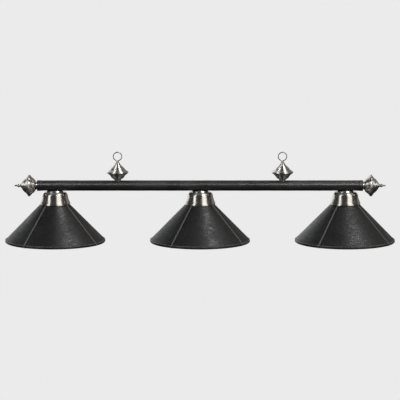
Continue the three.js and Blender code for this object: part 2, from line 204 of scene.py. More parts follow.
def add_point_values(mesh: bpy.types.Mesh, name: str, values: np.ndarray) -> None:
    """Stores one number for each point of a mesh, for a finish to read.

    Args:
        mesh: The mesh.
        name: The attribute's name.
        values: One number for each point.
    """
    mesh.attributes.new(name, "FLOAT", "POINT").data.foreach_set("value", values.astype(np.float32))


def mesh_from(name: str, points: np.ndarray, faces: Sequence[Sequence[int]]) -> bpy.types.Mesh:
    """Makes a smooth-shaded mesh.

    Args:
        name: The mesh's name.
        points: Its points in metres.
        faces: The point numbers of each face.

    Returns:
        The mesh.
    """
    mesh = bpy.data.meshes.new(name)
    mesh.from_pydata(points.tolist(), [], faces)
    mesh.polygons.foreach_set("use_smooth", [True] * len(mesh.polygons))
    mesh.update()
    return mesh


@dataclass(frozen=True)
class Lathe:
    """A turned piece: an outline of (radius, height) in millimetres about an axis."""

    outline: Sequence[Point]
    segments: int = 112
    shaping: Callable[[np.ndarray], np.ndarray] | None = None

    def edge_wear(self, outline: np.ndarray, turns_left: bool) -> np.ndarray:
        """Finds how much of a worn edge each point of the outline is.

        Args:
            outline: The outline.
            turns_left: Whether the solid lies to the left of the outline.

        Returns:
            0 on a flat or a hollow, up to 1 on a sharp edge.
        """
        before = outline - np.roll(outline, 1, axis=0)
        after = np.roll(outline, -1, axis=0) - outline
        cross = before[:, 0] * after[:, 1] - before[:, 1] * after[:, 0]
        turn = np.arctan2(cross, (before * after).sum(1)) * (1 if turns_left else -1)
        sharp = np.clip(turn / math.radians(18), 0, 1)
        reach = 1.1
        gap = np.linalg.norm(outline[:, None] - outline[None], axis=2)
        return (sharp[None] * np.clip(1 - gap / reach, 0, 1)).max(1)

    def mesh(self, name: str, place: Matrix) -> bpy.types.Mesh:
        """Turns the outline.

        Args:
            name: The mesh's name.
            place: Where the axis's zero is and which way it points, in metres.

        Returns:
            The mesh, with the attributes along and edge.
        """
        outline = np.asarray(self.outline, float)
        count = len(outline)
        area = float(np.sum(outline[:, 0] * np.roll(outline[:, 1], -1)
                            - np.roll(outline[:, 0], -1) * outline[:, 1]))
        lengths = np.linalg.norm(np.diff(outline, axis=0), axis=1)
        along = np.concatenate([[0.0], np.cumsum(lengths)])
        wear = self.edge_wear(outline, area > 0)
        angles = np.linspace(0, 2 * math.pi, self.segments, endpoint=False)
        rings: list[list[int]] = []
        points: list[np.ndarray] = []
        row: list[int] = []
        total = 0
        for i, (radius, height) in enumerate(outline):
            if radius < ON_AXIS:
                points.append(np.array([[0.0, 0.0, height]]))
                rings.append([total])
            else:
                ring = np.stack([radius * np.cos(angles), radius * np.sin(angles),
                                 np.full(len(angles), height)], 1)
                points.append(ring)
                rings.append(list(range(total, total + len(angles))))
            row += [i] * len(rings[-1])
            total += len(rings[-1])
        local = np.vstack(points)
        if self.shaping:
            local = self.shaping(local)
        faces = self.faces(rings, count)
        if area < 0:
            faces = [face[::-1] for face in faces]
        spin = np.array(place.to_3x3())
        world = local * MM @ spin.T + np.array(place.translation)
        mesh = mesh_from(name, world, faces)
        add_point_values(mesh, "along", along[row])
        add_point_values(mesh, "edge", wear[row])
        self.unroll(mesh, along[row], [n for ring in rings for n in range(len(ring))])
        return mesh

    def unroll(self, mesh: bpy.types.Mesh, along: np.ndarray, turn: Sequence[int]) -> None:
        """Lays the surface flat along its outline and round the axis, for finishes that follow the turning.

        Args:
            mesh: The mesh.
            along: How far along the outline each point is.
            turn: Which segment each point is at.
        """
        corner = np.zeros(len(mesh.loops), int)
        mesh.loops.foreach_get("vertex_index", corner)
        around = np.asarray(turn, float)[corner]
        size = np.zeros(len(mesh.polygons), int)
        mesh.polygons.foreach_get("loop_total", size)
        face = np.repeat(np.arange(len(size)), size)
        furthest = np.zeros(len(size))
        np.maximum.at(furthest, face, around)
        around[(around < 1) & (furthest[face] > self.segments / 2)] = self.segments
        flat = np.stack([along[corner] / max(along.max(), 1), around / self.segments], 1)
        mesh.uv_layers.new(name="turned").data.foreach_set("uv", flat.astype(np.float32).ravel())

    def faces(self, rings: list[list[int]], count: int) -> list[tuple[int, ...]]:
        """Joins each ring of points to the next.

        Args:
            rings: The point numbers of each ring, one number where the outline touches the axis.
            count: How many rings there are.

        Returns:
            The faces.
        """
        made: list[tuple[int, ...]] = []
        for i in range(count):
            low, high = rings[i], rings[(i + 1) % count]
            for j in range(self.segments):
                k = (j + 1) % self.segments
                if len(low) > 1 and len(high) > 1:
                    made.append((low[j], low[k], high[k], high[j]))
                elif len(low) > 1:
                    made.append((low[j], low[k], high[0]))
                elif len(high) > 1:
                    made.append((low[0], high[k], high[j]))
        return made


@dataclass(frozen=True)
class Run:
    """A line over a surface: its points in metres, and the surface's outward direction at each."""

    points: np.ndarray
    outward: np.ndarray

    def frames(self) -> tuple[np.ndarray, np.ndarray]:
        """Finds the directions along and across the run.

        Returns:
            The direction along the run and the direction across it, at each point.
        """
        along = np.gradient(self.points, axis=0)
        along /= np.linalg.norm(along, axis=1)[:, None]
        across = np.cross(along, self.outward)
        across /= np.linalg.norm(across, axis=1)[:, None]
        return along, across

    def at(self, distance: float) -> tuple[np.ndarray, np.ndarray, np.ndarray]:
        """Finds the place at a distance along the run.

        Args:
            distance: Metres from its start.

        Returns:
            The point, the outward direction and the direction along.
        """
        steps = np.linalg.norm(np.diff(self.points, axis=0), axis=1)
        travelled = np.concatenate([[0.0], np.cumsum(steps)])
        along, _ = self.frames()

        def mixed(values: np.ndarray) -> np.ndarray:
            """A value of the run at that distance."""
            return np.array([np.interp(distance, travelled, values[:, k]) for k in range(3)])

        return mixed(self.points), mixed(self.outward), mixed(along)

    def length(self) -> float:
        """How long the run is, in metres."""
        return float(np.linalg.norm(np.diff(self.points, axis=0), axis=1).sum())


def swept(name: str, runs: Sequence[Run], section: Sequence[Point]) -> bpy.types.Mesh:
    """Sweeps a closed section along runs over a surface.

    Args:
        name: The mesh's name.
        runs: The runs.
        section: Points of (across, outward) in millimetres.

    Returns:
        One mesh with a closed strip on each run.
    """
    shape = np.asarray(section, float) * MM
    size = len(shape)
    points: list[np.ndarray] = []
    faces: list[tuple[int, ...]] = []
    base = 0
    for run in runs:
        _, across = run.frames()
        strip = (
            run.points[:, None]
            + across[:, None] * shape[None, :, :1]
            + run.outward[:, None] * shape[None, :, 1:]
        )
        count = len(run.points)
        points.append(strip.reshape(-1, 3))
        for i in range(count - 1):
            for j in range(size):
                k = (j + 1) % size
                low, high = base + i * size, base + (i + 1) * size
                faces.append((low + j, high + j, high + k, low + k))
        faces.append(tuple(base + j for j in range(size)))
        faces.append(tuple(base + (count - 1) * size + j for j in reversed(range(size))))
        base += count * size
    return mesh_from(name, np.vstack(points), faces)


@dataclass(frozen=True)
class StitchRow:
    """A row of stitches beside a seam, all sizes in millimetres."""

    pitch: float = 4.4
    length: float = 3.3
    thread: float = 0.38
    lift: float = 0.3
    offset: float = 0.0
    sides: int = 6
    steps: int = 5

    def stitch(self, middle: np.ndarray, outward: np.ndarray, along: np.ndarray) -> np.ndarray:
        """Shapes one stitch, which rises from the leather and goes back in.

        Args:
            middle: The stitch's middle on the surface.
            outward: The surface's outward direction.
            along: The seam's direction.

        Returns:
            Rings of points, one after the other.
        """
        across = np.cross(along, outward)
        rings = []
        for i in range(self.steps + 1):
            t = i / self.steps
            rise = self.lift * math.sin(math.pi * t) - 0.22
            radius = self.thread * (0.55 + 0.45 * math.sin(math.pi * t))
            centre = middle + along * (t - 0.5) * self.length * MM + outward * rise * MM
            for j in range(self.sides):
                a = 2 * math.pi * j / self.sides
                rings.append(centre + (across * math.cos(a) + outward * math.sin(a)) * radius * MM)
        return np.array(rings)

    def sew(self, name: str, runs: Sequence[Run]) -> bpy.types.Mesh:
        """Sews stitches along runs.

        Args:
            name: The mesh's name.
            runs: The runs.

        Returns:
            One mesh with all the stitches.
        """
        points: list[np.ndarray] = []
        faces: list[tuple[int, ...]] = []
        base = 0
        for run in runs:
            count = int(run.length() / MM // self.pitch)
            for n in range(count):
                middle, outward, along = run.at((n + 0.5) * self.pitch * MM)
                outward /= np.linalg.norm(outward)
                along /= np.linalg.norm(along)
                middle = middle + np.cross(along, outward) * self.offset * MM
                points.append(self.stitch(middle, outward, along))
                for i in range(self.steps):
                    for j in range(self.sides):
                        k = (j + 1) % self.sides
                        low, high = base + i * self.sides, base + (i + 1) * self.sides
                        faces.append((low + j, high + j, high + k, low + k))
                faces.append(tuple(base + j for j in range(self.sides)))
                last = base + self.steps * self.sides
                faces.append(tuple(last + j for j in reversed(range(self.sides))))
                base += (self.steps + 1) * self.sides
        return mesh_from(name, np.vstack(points), faces)


# ------------------------------------------------------------------ node building


@dataclass
class Bench:
    """Adds and joins nodes in one node tree."""

    tree: bpy.types.NodeTree

    def node(self, kind: str, inputs: dict[str | int, Value | tuple] | None = None,
             **settings: object) -> bpy.types.Node:
        """Adds a node.

        Args:
            kind: The node's type without its ShaderNode prefix.
            inputs: Values or sockets for its inputs.
            settings: Its own settings.

        Returns:
            The node.
        """
        made = self.tree.nodes.new(f"ShaderNode{kind}")
        for key, value in settings.items():
            setattr(made, key, value)
        for key, value in (inputs or {}).items():
            self.put(value, made.inputs[key])
        return made

    def put(self, value: Value | tuple, socket: bpy.types.NodeSocket) -> None:
        """Joins a socket to an input, or sets the input's value."""
        if isinstance(value, bpy.types.NodeSocket):
            self.tree.links.new(value, socket)
        else:
            socket.default_value = value

    def math(self, operation: str, *values: Value) -> bpy.types.NodeSocket:
        """Works out a number from others.

        Args:
            operation: The Math node's operation.
            values: Its inputs.

        Returns:
            The result's socket.
        """
        return self.node("Math", dict(enumerate(values)), operation=operation).outputs[0]

    def remap(self, value: Value, low: float, high: float, to_low: Value,
              to_high: Value) -> bpy.types.NodeSocket:
        """Carries a value from one range to another with soft ends.

        Args:
            value: The value.
            low: The value that becomes to_low.
            high: The value that becomes to_high.
            to_low: The result at low.
            to_high: The result at high.

        Returns:
            The result's socket.
        """
        inputs = {"Value": value, "From Min": low, "From Max": high, "To Min": to_low, "To Max": to_high}
        return self.node("MapRange", inputs, interpolation_type="SMOOTHSTEP").outputs[0]

    def blend(self, share: Value, first: Value | tuple, second: Value | tuple) -> bpy.types.NodeSocket:
        """Mixes two colours.

        Args:
            share: How much of the second colour shows.
            first: A colour or socket.
            second: A colour or socket.

        Returns:
            The mixed colour's socket.
        """
        mixed = self.tree.nodes.new("ShaderNodeMix")
        mixed.data_type = "RGBA"
        for index, value in ((0, share), (6, first), (7, second)):
            if isinstance(value, tuple) and len(value) == 3:
                value = (*value, 1.0)
            self.put(value, mixed.inputs[index])
        return mixed.outputs[2]

    def noise(self, vector: Value, scale: Value, detail: float = 2.0,
              roughness: float = 0.5) -> bpy.types.NodeSocket:
        """Adds a noise texture.

        Args:
            vector: Where to read it.
            scale: Its scale, in lumps for each metre.
            detail: How many finer layers it has.
            roughness: How strong the finer layers are.

        Returns:
            The noise value's socket.
        """
        inputs = {"Vector": vector, "Scale": scale, "Detail": detail, "Roughness": roughness}
        return self.node("TexNoise", inputs).outputs[0]

    def place(self, stretch: Colour = (1.0, 1.0, 1.0)) -> bpy.types.NodeSocket:
        """The point's own place on its piece, stretched along each axis."""
        where = self.node("TexCoord").outputs["Object"]
        return self.node("Mapping", {"Vector": where, "Scale": stretch}).outputs[0]

    def effect(self, effect: "Effect", inputs: dict[str, Value] | None = None) -> bpy.types.Node:
        """Places a shared effect with its own values.

        Args:
            effect: Which effect.
            inputs: Values for its inputs.

        Returns:
            The group node.
        """
        return self.node("Group", inputs, node_tree=effect.group())


class Effect(Enum):
    """An effect that several finishes share, each one node group."""

    GRAIN = "Leather grain"
    TURNING = "Turning marks"
    WEAR = "Edge wear"
    DUST = "Settled dust"
    BLOTCH = "Blotches"

    def group(self) -> bpy.types.NodeTree:
        """The effect's node group, built the first time that it is asked for."""
        found = bpy.data.node_groups.get(self.value)
        return found or EFFECT_MAKERS[self](self.value)


def new_group(name: str, inputs: dict[str, float], outputs: Sequence[str]) -> tuple[Bench, dict, dict]:
    """Starts a node group of numbers.

    Args:
        name: Its name.
        inputs: Each input's name and default.
        outputs: The names of its outputs.

    Returns:
        The bench, the input sockets by name and the output sockets by name.
    """
    tree = bpy.data.node_groups.new(name, "ShaderNodeTree")
    for key, default in inputs.items():
        socket = tree.interface.new_socket(key, in_out="INPUT", socket_type="NodeSocketFloat")
        socket.default_value = default
    for key in outputs:
        tree.interface.new_socket(key, in_out="OUTPUT", socket_type="NodeSocketFloat")
    entry = tree.nodes.new("NodeGroupInput")
    leave = tree.nodes.new("NodeGroupOutput")
    return Bench(tree), {k: entry.outputs[k] for k in inputs}, {k: leave.inputs[k] for k in outputs}


def grain_group(name: str) -> bpy.types.NodeTree:
    """Pebbled leather with fine creases between the pebbles and long wrinkles across them.

    Args:
        name: The group's name.

    Returns:
        The group: Height and Crease from Scale and Wrinkle.
    """
    bench, given, out = new_group(name, {"Scale": 900.0, "Wrinkle": 0.5}, ["Height", "Crease"])
    where = bench.place()
    wobble = bench.node("TexNoise", {"Vector": where, "Scale": 260.0, "Detail": 2.0}).outputs["Color"]
    drift = bench.node("VectorMath", {0: wobble, 1: (0.0022, 0.0022, 0.0022)},
                       operation="MULTIPLY").outputs[0]
    bent = bench.node("VectorMath", {0: where, 1: drift}, operation="ADD").outputs[0]
    cells = bench.node("TexVoronoi", {"Vector": bent, "Scale": given["Scale"]},
                       feature="DISTANCE_TO_EDGE").outputs[0]
    crease = bench.remap(cells, 0.0, 0.22, 1.0, 0.0)
    flat = bench.node("Mapping", {"Vector": where, "Scale": (1.0, 1.0, 5.5)}).outputs[0]
    long_wrinkle = bench.remap(bench.noise(flat, 46.0, 4.0, 0.6), 0.36, 0.66, 0.0, 1.0)
    wrinkles = bench.math("MULTIPLY", long_wrinkle, given["Wrinkle"])
    pebbles = bench.math("SUBTRACT", 1.0, crease)
    bench.put(bench.math("ADD", bench.math("MULTIPLY", pebbles, 0.35), wrinkles), out["Height"])
    bench.put(crease, out["Crease"])
    return bench.tree


def turning_group(name: str) -> bpy.types.NodeTree:
    """Fine rings left by turning or spinning, which follow the outline of a turned piece.

    Args:
        name: The group's name.

    Returns:
        The group: Height and Streak from Pitch, in millimetres.
    """
    bench, given, out = new_group(name, {"Pitch": 0.6}, ["Height", "Streak"])
    along = bench.node("Attribute", attribute_name="along").outputs["Fac"]
    sway = bench.math("MULTIPLY", bench.noise(bench.place(), 30.0), 0.35)
    across = bench.math("DIVIDE", bench.math("ADD", along, sway), given["Pitch"])
    fine = bench.node("TexNoise", {"W": across, "Scale": 1.0, "Detail": 3.0},
                      noise_dimensions="1D").outputs[0]
    wide = bench.math("MULTIPLY", across, 0.17)
    broad = bench.node("TexNoise", {"W": wide, "Scale": 1.0, "Detail": 2.0}, noise_dimensions="1D").outputs[0]
    bench.put(fine, out["Height"])
    bench.put(bench.remap(broad, 0.3, 0.7, 0.0, 1.0), out["Streak"])
    return bench.tree


def wear_group(name: str) -> bpy.types.NodeTree:
    """Rubbed edges, broken up by noise.

    Args:
        name: The group's name.

    Returns:
        The group: Mask from Amount and Scale.
    """
    bench, given, out = new_group(name, {"Amount": 0.5, "Scale": 220.0}, ["Mask"])
    edge = bench.node("Attribute", attribute_name="edge").outputs["Fac"]
    patches = bench.remap(bench.noise(bench.place(), given["Scale"], 3.0, 0.6), 0.38, 0.62, 0.25, 1.0)
    bench.put(bench.math("MULTIPLY", bench.math("MULTIPLY", edge, patches), given["Amount"]), out["Mask"])
    return bench.tree


def dust_group(name: str) -> bpy.types.NodeTree:
    """Dust on faces that look up.

    Args:
        name: The group's name.

    Returns:
        The group: Mask from Amount.
    """
    bench, given, out = new_group(name, {"Amount": 0.3}, ["Mask"])
    upward = bench.node("SeparateXYZ", {0: bench.node("NewGeometry").outputs["Normal"]}).outputs["Z"]
    facing = bench.remap(upward, 0.25, 0.95, 0.0, 1.0)
    speckle = bench.remap(bench.noise(bench.place(), 120.0, 5.0, 0.65), 0.35, 0.75, 0.2, 1.0)
    bench.put(bench.math("MULTIPLY", bench.math("MULTIPLY", facing, speckle), given["Amount"]), out["Mask"])
    return bench.tree


def blotch_group(name: str) -> bpy.types.NodeTree:
    """Large soft patches, for colour and gloss that aren't quite even.

    Args:
        name: The group's name.

    Returns:
        The group: Value from Scale.
    """
    bench, given, out = new_group(name, {"Scale": 14.0}, ["Value"])
    bench.put(bench.remap(bench.noise(bench.place(), given["Scale"], 4.0, 0.55), 0.32, 0.68, 0.0,
                          1.0), out["Value"])
    return bench.tree


EFFECT_MAKERS: dict[Effect, Callable[[str], bpy.types.NodeTree]] = {
    Effect.GRAIN: grain_group,
    Effect.TURNING: turning_group,
    Effect.WEAR: wear_group,
    Effect.DUST: dust_group,
    Effect.BLOTCH: blotch_group,
}


# ------------------------------------------------------------------ finishes


@dataclass(frozen=True)
class Finish:
    """A material of the lamp. Each kind of finish wires its own nodes."""

    name: str
    slot: str

    def material(self) -> bpy.types.Material:
        """The finish's material, built the first time that it is asked for."""
        found = bpy.data.materials.get(self.name)
        if found:
            return found
        made = bpy.data.materials.new(self.name)
        made.use_nodes = True
        made.node_tree.nodes.clear()
        bench = Bench(made.node_tree)
        shader = bench.node("BsdfPrincipled")
        output = bench.node("OutputMaterial")
        made.node_tree.links.new(shader.outputs[0], output.inputs["Surface"])
        self.wire(bench, shader)
        return made

    def wire(self, bench: Bench, shader: bpy.types.Node) -> None:
        """Gives the shader its colours, gloss and relief."""
        raise NotImplementedError

    def relief(self, bench: Bench, shader: bpy.types.Node, height: Value, depth: float,
               strength: float) -> None:
        """Puts a height into the shader's normal.

        Args:
            bench: The material's bench.
            shader: The shader.
            height: The height's socket.
            depth: How deep a height of 1 is, in metres.
            strength: How much of it shows.
        """
        bump = bench.node("Bump", {"Height": height, "Distance": depth, "Strength": strength})
        bench.put(bump.outputs[0], shader.inputs["Normal"])


@dataclass(frozen=True)
class GrainedLeather(Finish):
    """Black pebbled leather, polished where it is rubbed."""

    dark: Colour = (0.0036, 0.0037, 0.0039)
    light: Colour = (0.0125, 0.0128, 0.0131)
    worn: Colour = (0.02, 0.02, 0.02)
    scale: float = 620.0
    wrinkle: float = 0.6
    gloss: float = 0.36

    def wire(self, bench: Bench, shader: bpy.types.Node) -> None:
        """Gives the shader its colours, gloss and relief."""
        grain = bench.effect(Effect.GRAIN, {"Scale": self.scale, "Wrinkle": self.wrinkle})
        patches = bench.effect(Effect.BLOTCH, {"Scale": 11.0}).outputs["Value"]
        wear = bench.effect(Effect.WEAR, {"Amount": 0.7, "Scale": 160.0}).outputs["Mask"]
        dust = bench.effect(Effect.DUST, {"Amount": 0.12}).outputs["Mask"]
        # Raised grain and long wrinkles painted lighter, a painted sheen; the same mask also makes them
        # glossier.
        raised_grain_and_painted_sheen = bench.remap(grain.outputs["Height"], 0.3, 0.9, 0.0, 1.3)
        base = bench.blend(bench.math("MULTIPLY", bench.math("ADD", patches, raised_grain_and_painted_sheen), 0.6),
                           self.dark, self.light)
        # Grain creases painted darker: painted shade in the creases.
        base = bench.blend(bench.math("MULTIPLY", grain.outputs["Crease"], 0.5), base, self.dark)
        base = bench.blend(wear, base, self.worn)
        base = bench.blend(bench.math("MULTIPLY", dust, 0.35), base, (0.12, 0.118, 0.11))
        bench.put(base, shader.inputs["Base Color"])
        gloss = bench.remap(patches, 0.0, 1.0, self.gloss - 0.05, self.gloss + 0.07)
        gloss = bench.math("ADD", gloss, bench.remap(raised_grain_and_painted_sheen, 0.0, 1.3, 0.06, -0.06))
        gloss = bench.math("ADD", gloss, bench.math("MULTIPLY", grain.outputs["Crease"], 0.2))
        bench.put(bench.math("SUBTRACT", gloss, bench.math("MULTIPLY", wear, 0.1)),
                  shader.inputs["Roughness"])
        shader.inputs["Specular IOR Level"].default_value = 0.5
        self.relief(bench, shader, grain.outputs["Height"], 0.0004, 0.3)


@dataclass(frozen=True)
class SpunMetal(Finish):
    """Polished metal that was turned or spun on a lathe."""

    base: Colour = (0.63, 0.61, 0.575)
    tarnish: Colour = (0.47, 0.44, 0.395)
    gloss: float = 0.25
    pitch: float = 0.6
    relief_strength: float = 0.05
    spread: float = 0.85

    def wire(self, bench: Bench, shader: bpy.types.Node) -> None:
        """Gives the shader its colours, gloss and relief."""
        marks = bench.effect(Effect.TURNING, {"Pitch": self.pitch})
        patches = bench.effect(Effect.BLOTCH, {"Scale": 26.0}).outputs["Value"]
        wear = bench.effect(Effect.WEAR, {"Amount": 0.8, "Scale": 300.0}).outputs["Mask"]
        dust = bench.effect(Effect.DUST, {"Amount": 0.16}).outputs["Mask"]
        stain = bench.math("MULTIPLY", patches, marks.outputs["Streak"])
        tone = bench.blend(bench.math("MULTIPLY", stain, 0.35), self.base, self.tarnish)
        tone = bench.blend(wear, tone, (0.78, 0.77, 0.75))
        tone = bench.blend(bench.math("MULTIPLY", dust, 0.5), tone, (0.35, 0.34, 0.32))
        bench.put(tone, shader.inputs["Base Color"])
        shader.inputs["Metallic"].default_value = 1.0
        shader.inputs["Anisotropic"].default_value = self.spread
        if self.spread:
            tangent = bench.node("Tangent", direction_type="UV_MAP", uv_map="turned")
            bench.put(tangent.outputs[0], shader.inputs["Tangent"])
        gloss = bench.remap(marks.outputs["Streak"], 0.0, 1.0, self.gloss - 0.03, self.gloss + 0.05)
        gloss = bench.math("ADD", gloss, bench.math("MULTIPLY", stain, 0.06))
        bench.put(bench.math("ADD", gloss, bench.math("MULTIPLY", dust, 0.3)), shader.inputs["Roughness"])
        self.relief(bench, shader, marks.outputs["Height"], 0.00006, self.relief_strength)


@dataclass(frozen=True)
class DullMetal(Finish):
    """Plated or drawn metal with a faint crystal pattern, darker patches at random and rubbed edges."""

    base: Colour = (0.5, 0.51, 0.53)
    stain: Colour = (0.3, 0.3, 0.3)
    gloss: float = 0.36

    def wire(self, bench: Bench, shader: bpy.types.Node) -> None:
        """Gives the shader its colours, gloss and relief."""
        patches = bench.effect(Effect.BLOTCH, {"Scale": 60.0}).outputs["Value"]
        wear = bench.effect(Effect.WEAR, {"Amount": 0.7, "Scale": 500.0}).outputs["Mask"]
        spangle = bench.node("TexVoronoi", {"Vector": bench.place(), "Scale": 700.0}).outputs["Color"]
        shade = bench.node("SeparateColor", {0: spangle}).outputs[0]
        tone = bench.blend(patches, self.base, self.stain)
        tone = bench.blend(bench.math("MULTIPLY", shade, 0.2), tone, (0.7, 0.7, 0.72))
        bench.put(bench.blend(wear, tone, (0.75, 0.75, 0.76)), shader.inputs["Base Color"])
        shader.inputs["Metallic"].default_value = 1.0
        bench.put(bench.remap(patches, 0.0, 1.0, self.gloss - 0.06, self.gloss + 0.1),
                  shader.inputs["Roughness"])
        self.relief(bench, shader, shade, 0.00004, 0.2)


@dataclass(frozen=True)
class Enamel(Finish):
    """Baked enamel on spun sheet, a little uneven, with faint spinning rings under it."""

    base: Colour = (0.8, 0.79, 0.75)
    aged: Colour = (0.7, 0.665, 0.58)

    def wire(self, bench: Bench, shader: bpy.types.Node) -> None:
        """Gives the shader its colours, gloss and relief."""
        marks = bench.effect(Effect.TURNING, {"Pitch": 2.6})
        patches = bench.effect(Effect.BLOTCH, {"Scale": 17.0}).outputs["Value"]
        dust = bench.effect(Effect.DUST, {"Amount": 0.4}).outputs["Mask"]
        tone = bench.blend(bench.math("MULTIPLY", patches, 0.5), self.base, self.aged)
        bench.put(bench.blend(bench.math("MULTIPLY", dust, 0.4), tone, (0.4, 0.38, 0.33)),
                  shader.inputs["Base Color"])
        bench.put(bench.remap(patches, 0.0, 1.0, 0.26, 0.38), shader.inputs["Roughness"])
        shader.inputs["Coat Weight"].default_value = 0.25
        self.relief(bench, shader, marks.outputs["Height"], 0.0002, 0.25)


@dataclass(frozen=True)
class Moulded(Finish):
    """Moulded plastic or rubber with a fine texture."""

    base: Colour = (0.014, 0.0125, 0.0115)
    bloom: Colour = (0.04, 0.037, 0.034)
    gloss: float = 0.38
    texture: float = 1400.0

    def wire(self, bench: Bench, shader: bpy.types.Node) -> None:
        """Gives the shader its colours, gloss and relief."""
        patches = bench.effect(Effect.BLOTCH, {"Scale": 70.0}).outputs["Value"]
        wear = bench.effect(Effect.WEAR, {"Amount": 0.6, "Scale": 420.0}).outputs["Mask"]
        dust = bench.effect(Effect.DUST, {"Amount": 0.3}).outputs["Mask"]
        tone = bench.blend(bench.math("MULTIPLY", patches, 0.5), self.base, self.bloom)
        tone = bench.blend(bench.math("MULTIPLY", wear, 0.6), tone,
                           tuple(min(1.0, 2.2 * c) for c in self.bloom))
        bench.put(bench.blend(bench.math("MULTIPLY", dust, 0.4), tone, (0.2, 0.19, 0.17)),
                  shader.inputs["Base Color"])
        bench.put(bench.remap(patches, 0.0, 1.0, self.gloss - 0.05, self.gloss + 0.12),
                  shader.inputs["Roughness"])
        self.relief(bench, shader, bench.noise(bench.place(), self.texture, 3.0, 0.6), 0.0001, 0.3)


@dataclass(frozen=True)
class OpalGlass(Finish):
    """White-coated bulb glass under a clear gloss."""

    base: Colour = (0.84, 0.835, 0.81)
    cloud: Colour = (0.76, 0.75, 0.715)

    def wire(self, bench: Bench, shader: bpy.types.Node) -> None:
        """Gives the shader its colours, gloss and relief."""
        patches = bench.effect(Effect.BLOTCH, {"Scale": 38.0}).outputs["Value"]
        dust = bench.effect(Effect.DUST, {"Amount": 0.35}).outputs["Mask"]
        tone = bench.blend(patches, self.base, self.cloud)
        bench.put(bench.blend(bench.math("MULTIPLY", dust, 0.4), tone, (0.5, 0.48, 0.44)),
                  shader.inputs["Base Color"])
        bench.put(bench.remap(patches, 0.0, 1.0, 0.14, 0.24), shader.inputs["Roughness"])
        shader.inputs["Subsurface Weight"].default_value = 0.25
        shader.inputs["Subsurface Radius"].default_value = (0.004, 0.004, 0.0035)
        shader.inputs["Coat Weight"].default_value = 0.6
        shader.inputs["Coat Roughness"].default_value = 0.06
        self.relief(bench, shader, bench.noise(bench.place(), 900.0, 2.0), 0.00004, 0.2)


@dataclass(frozen=True)
class Thread(Finish):
    """Waxed sewing thread with its twist."""

    base: Colour = (0.035, 0.035, 0.036)
    light: Colour = (0.085, 0.084, 0.082)

    def wire(self, bench: Bench, shader: bpy.types.Node) -> None:
        """Gives the shader its colours, gloss and relief."""
        patches = bench.effect(Effect.BLOTCH, {"Scale": 45.0}).outputs["Value"]
        inputs = {"Vector": bench.place(), "Scale": 900.0, "Distortion": 1.5}
        twist = bench.node("TexWave", inputs, bands_direction="DIAGONAL").outputs[1]
        share = bench.math("MULTIPLY", bench.math("ADD", patches, twist), 0.5)
        bench.put(bench.blend(share, self.base, self.light), shader.inputs["Base Color"])
        bench.put(bench.remap(twist, 0.0, 1.0, 0.42, 0.6), shader.inputs["Roughness"])
        self.relief(bench, shader, twist, 0.00015, 0.6)


LEATHER = GrainedLeather("black leather", "black_leather")
BAR_LEATHER = GrainedLeather(
    "black leather, bar",
    "black_leather",
    dark=(0.007, 0.0072, 0.0074),
    light=(0.014, 0.0142, 0.0145),
    scale=760.0,
    wrinkle=0.2,
    gloss=0.19,
)
# Black leather painted light grey for the raised seams: a painted highlight along each seam.
SEAM_LEATHER_PAINTED_HIGHLIGHT = GrainedLeather(
    "seam leather",
    "black_leather",
    dark=(0.12, 0.12, 0.121),
    light=(0.17, 0.17, 0.169),
    scale=900.0,
    wrinkle=0.2,
    gloss=0.4,
)
# Black leather painted light grey for the rim piping: a painted highlight, a light line along the rim.
PIPING_PAINTED_HIGHLIGHT = GrainedLeather(
    "piping leather",
    "black_leather",
    dark=(0.15, 0.15, 0.151),
    light=(0.2, 0.2, 0.199),
    scale=900.0,
    wrinkle=0.2,
    gloss=0.3,
)
STAINLESS = SpunMetal("spun stainless", "stainless")
POLISHED = SpunMetal(
    "polished stainless",
    "stainless",
    base=(0.46, 0.445, 0.42),
    tarnish=(0.36, 0.34, 0.305),
    gloss=0.25,
    pitch=1.2,
    relief_strength=0.01,
    spread=0.9,
)
BRUSHED = SpunMetal("brushed stainless", "stainless", gloss=0.3, spread=0.93)
WIRE = SpunMetal("stainless wire", "stainless", base=(0.45, 0.44, 0.42), gloss=0.24, pitch=1.4, spread=0.0)
PLUG = SpunMetal("turned plug", "stainless", gloss=0.24, spread=0.0)
STEEL = DullMetal("drawn steel", "bar_steel", base=(0.3, 0.31, 0.33), stain=(0.2, 0.2, 0.21), gloss=0.45)
ZINC = DullMetal("zinc plate", "zinc_plate")
BRASS = SpunMetal("pressed brass", "brass", base=(0.66, 0.5, 0.25), tarnish=(0.4, 0.28, 0.12), gloss=0.26)
ENAMEL = Enamel("white enamel", "white_enamel")
PHENOLIC = Moulded("black phenolic", "phenolic")
OPAL = OpalGlass("opal glass", "opal_glass")
RUBBER = Moulded("rubber", "rubber", base=(0.012, 0.012, 0.012), gloss=0.62, texture=900.0)
JACKET = Moulded("lead jacket", "lead_jacket", base=(0.02, 0.02, 0.022), gloss=0.48)
NYLON = Moulded("nylon", "nylon", base=(0.6, 0.57, 0.49), bloom=(0.7, 0.68, 0.6), gloss=0.45)
THREAD = Thread("sewing thread", "black_leather")


# ------------------------------------------------------------------ placing pieces


def put_on(mesh: bpy.types.Mesh, body: str, finish: Finish, nodes: Sequence[str] = ()) -> bpy.types.Object:
    """Puts a mesh on a body as a piece of the lamp.

    Args:
        mesh: The piece's mesh, whose name the piece takes.
        body: The body that it rides on.
        finish: Its finish.
        nodes: The frame's nodes that it stands for.

    Returns:
        The piece.
    """
    piece = bpy.data.objects.new(mesh.name, mesh)
    bpy.context.scene.collection.objects.link(piece)
    mesh.materials.append(finish.material())
    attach(piece, body)
    if nodes:
        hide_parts(*nodes)
    log.info("made %s on %s", piece.name, body)
    return piece


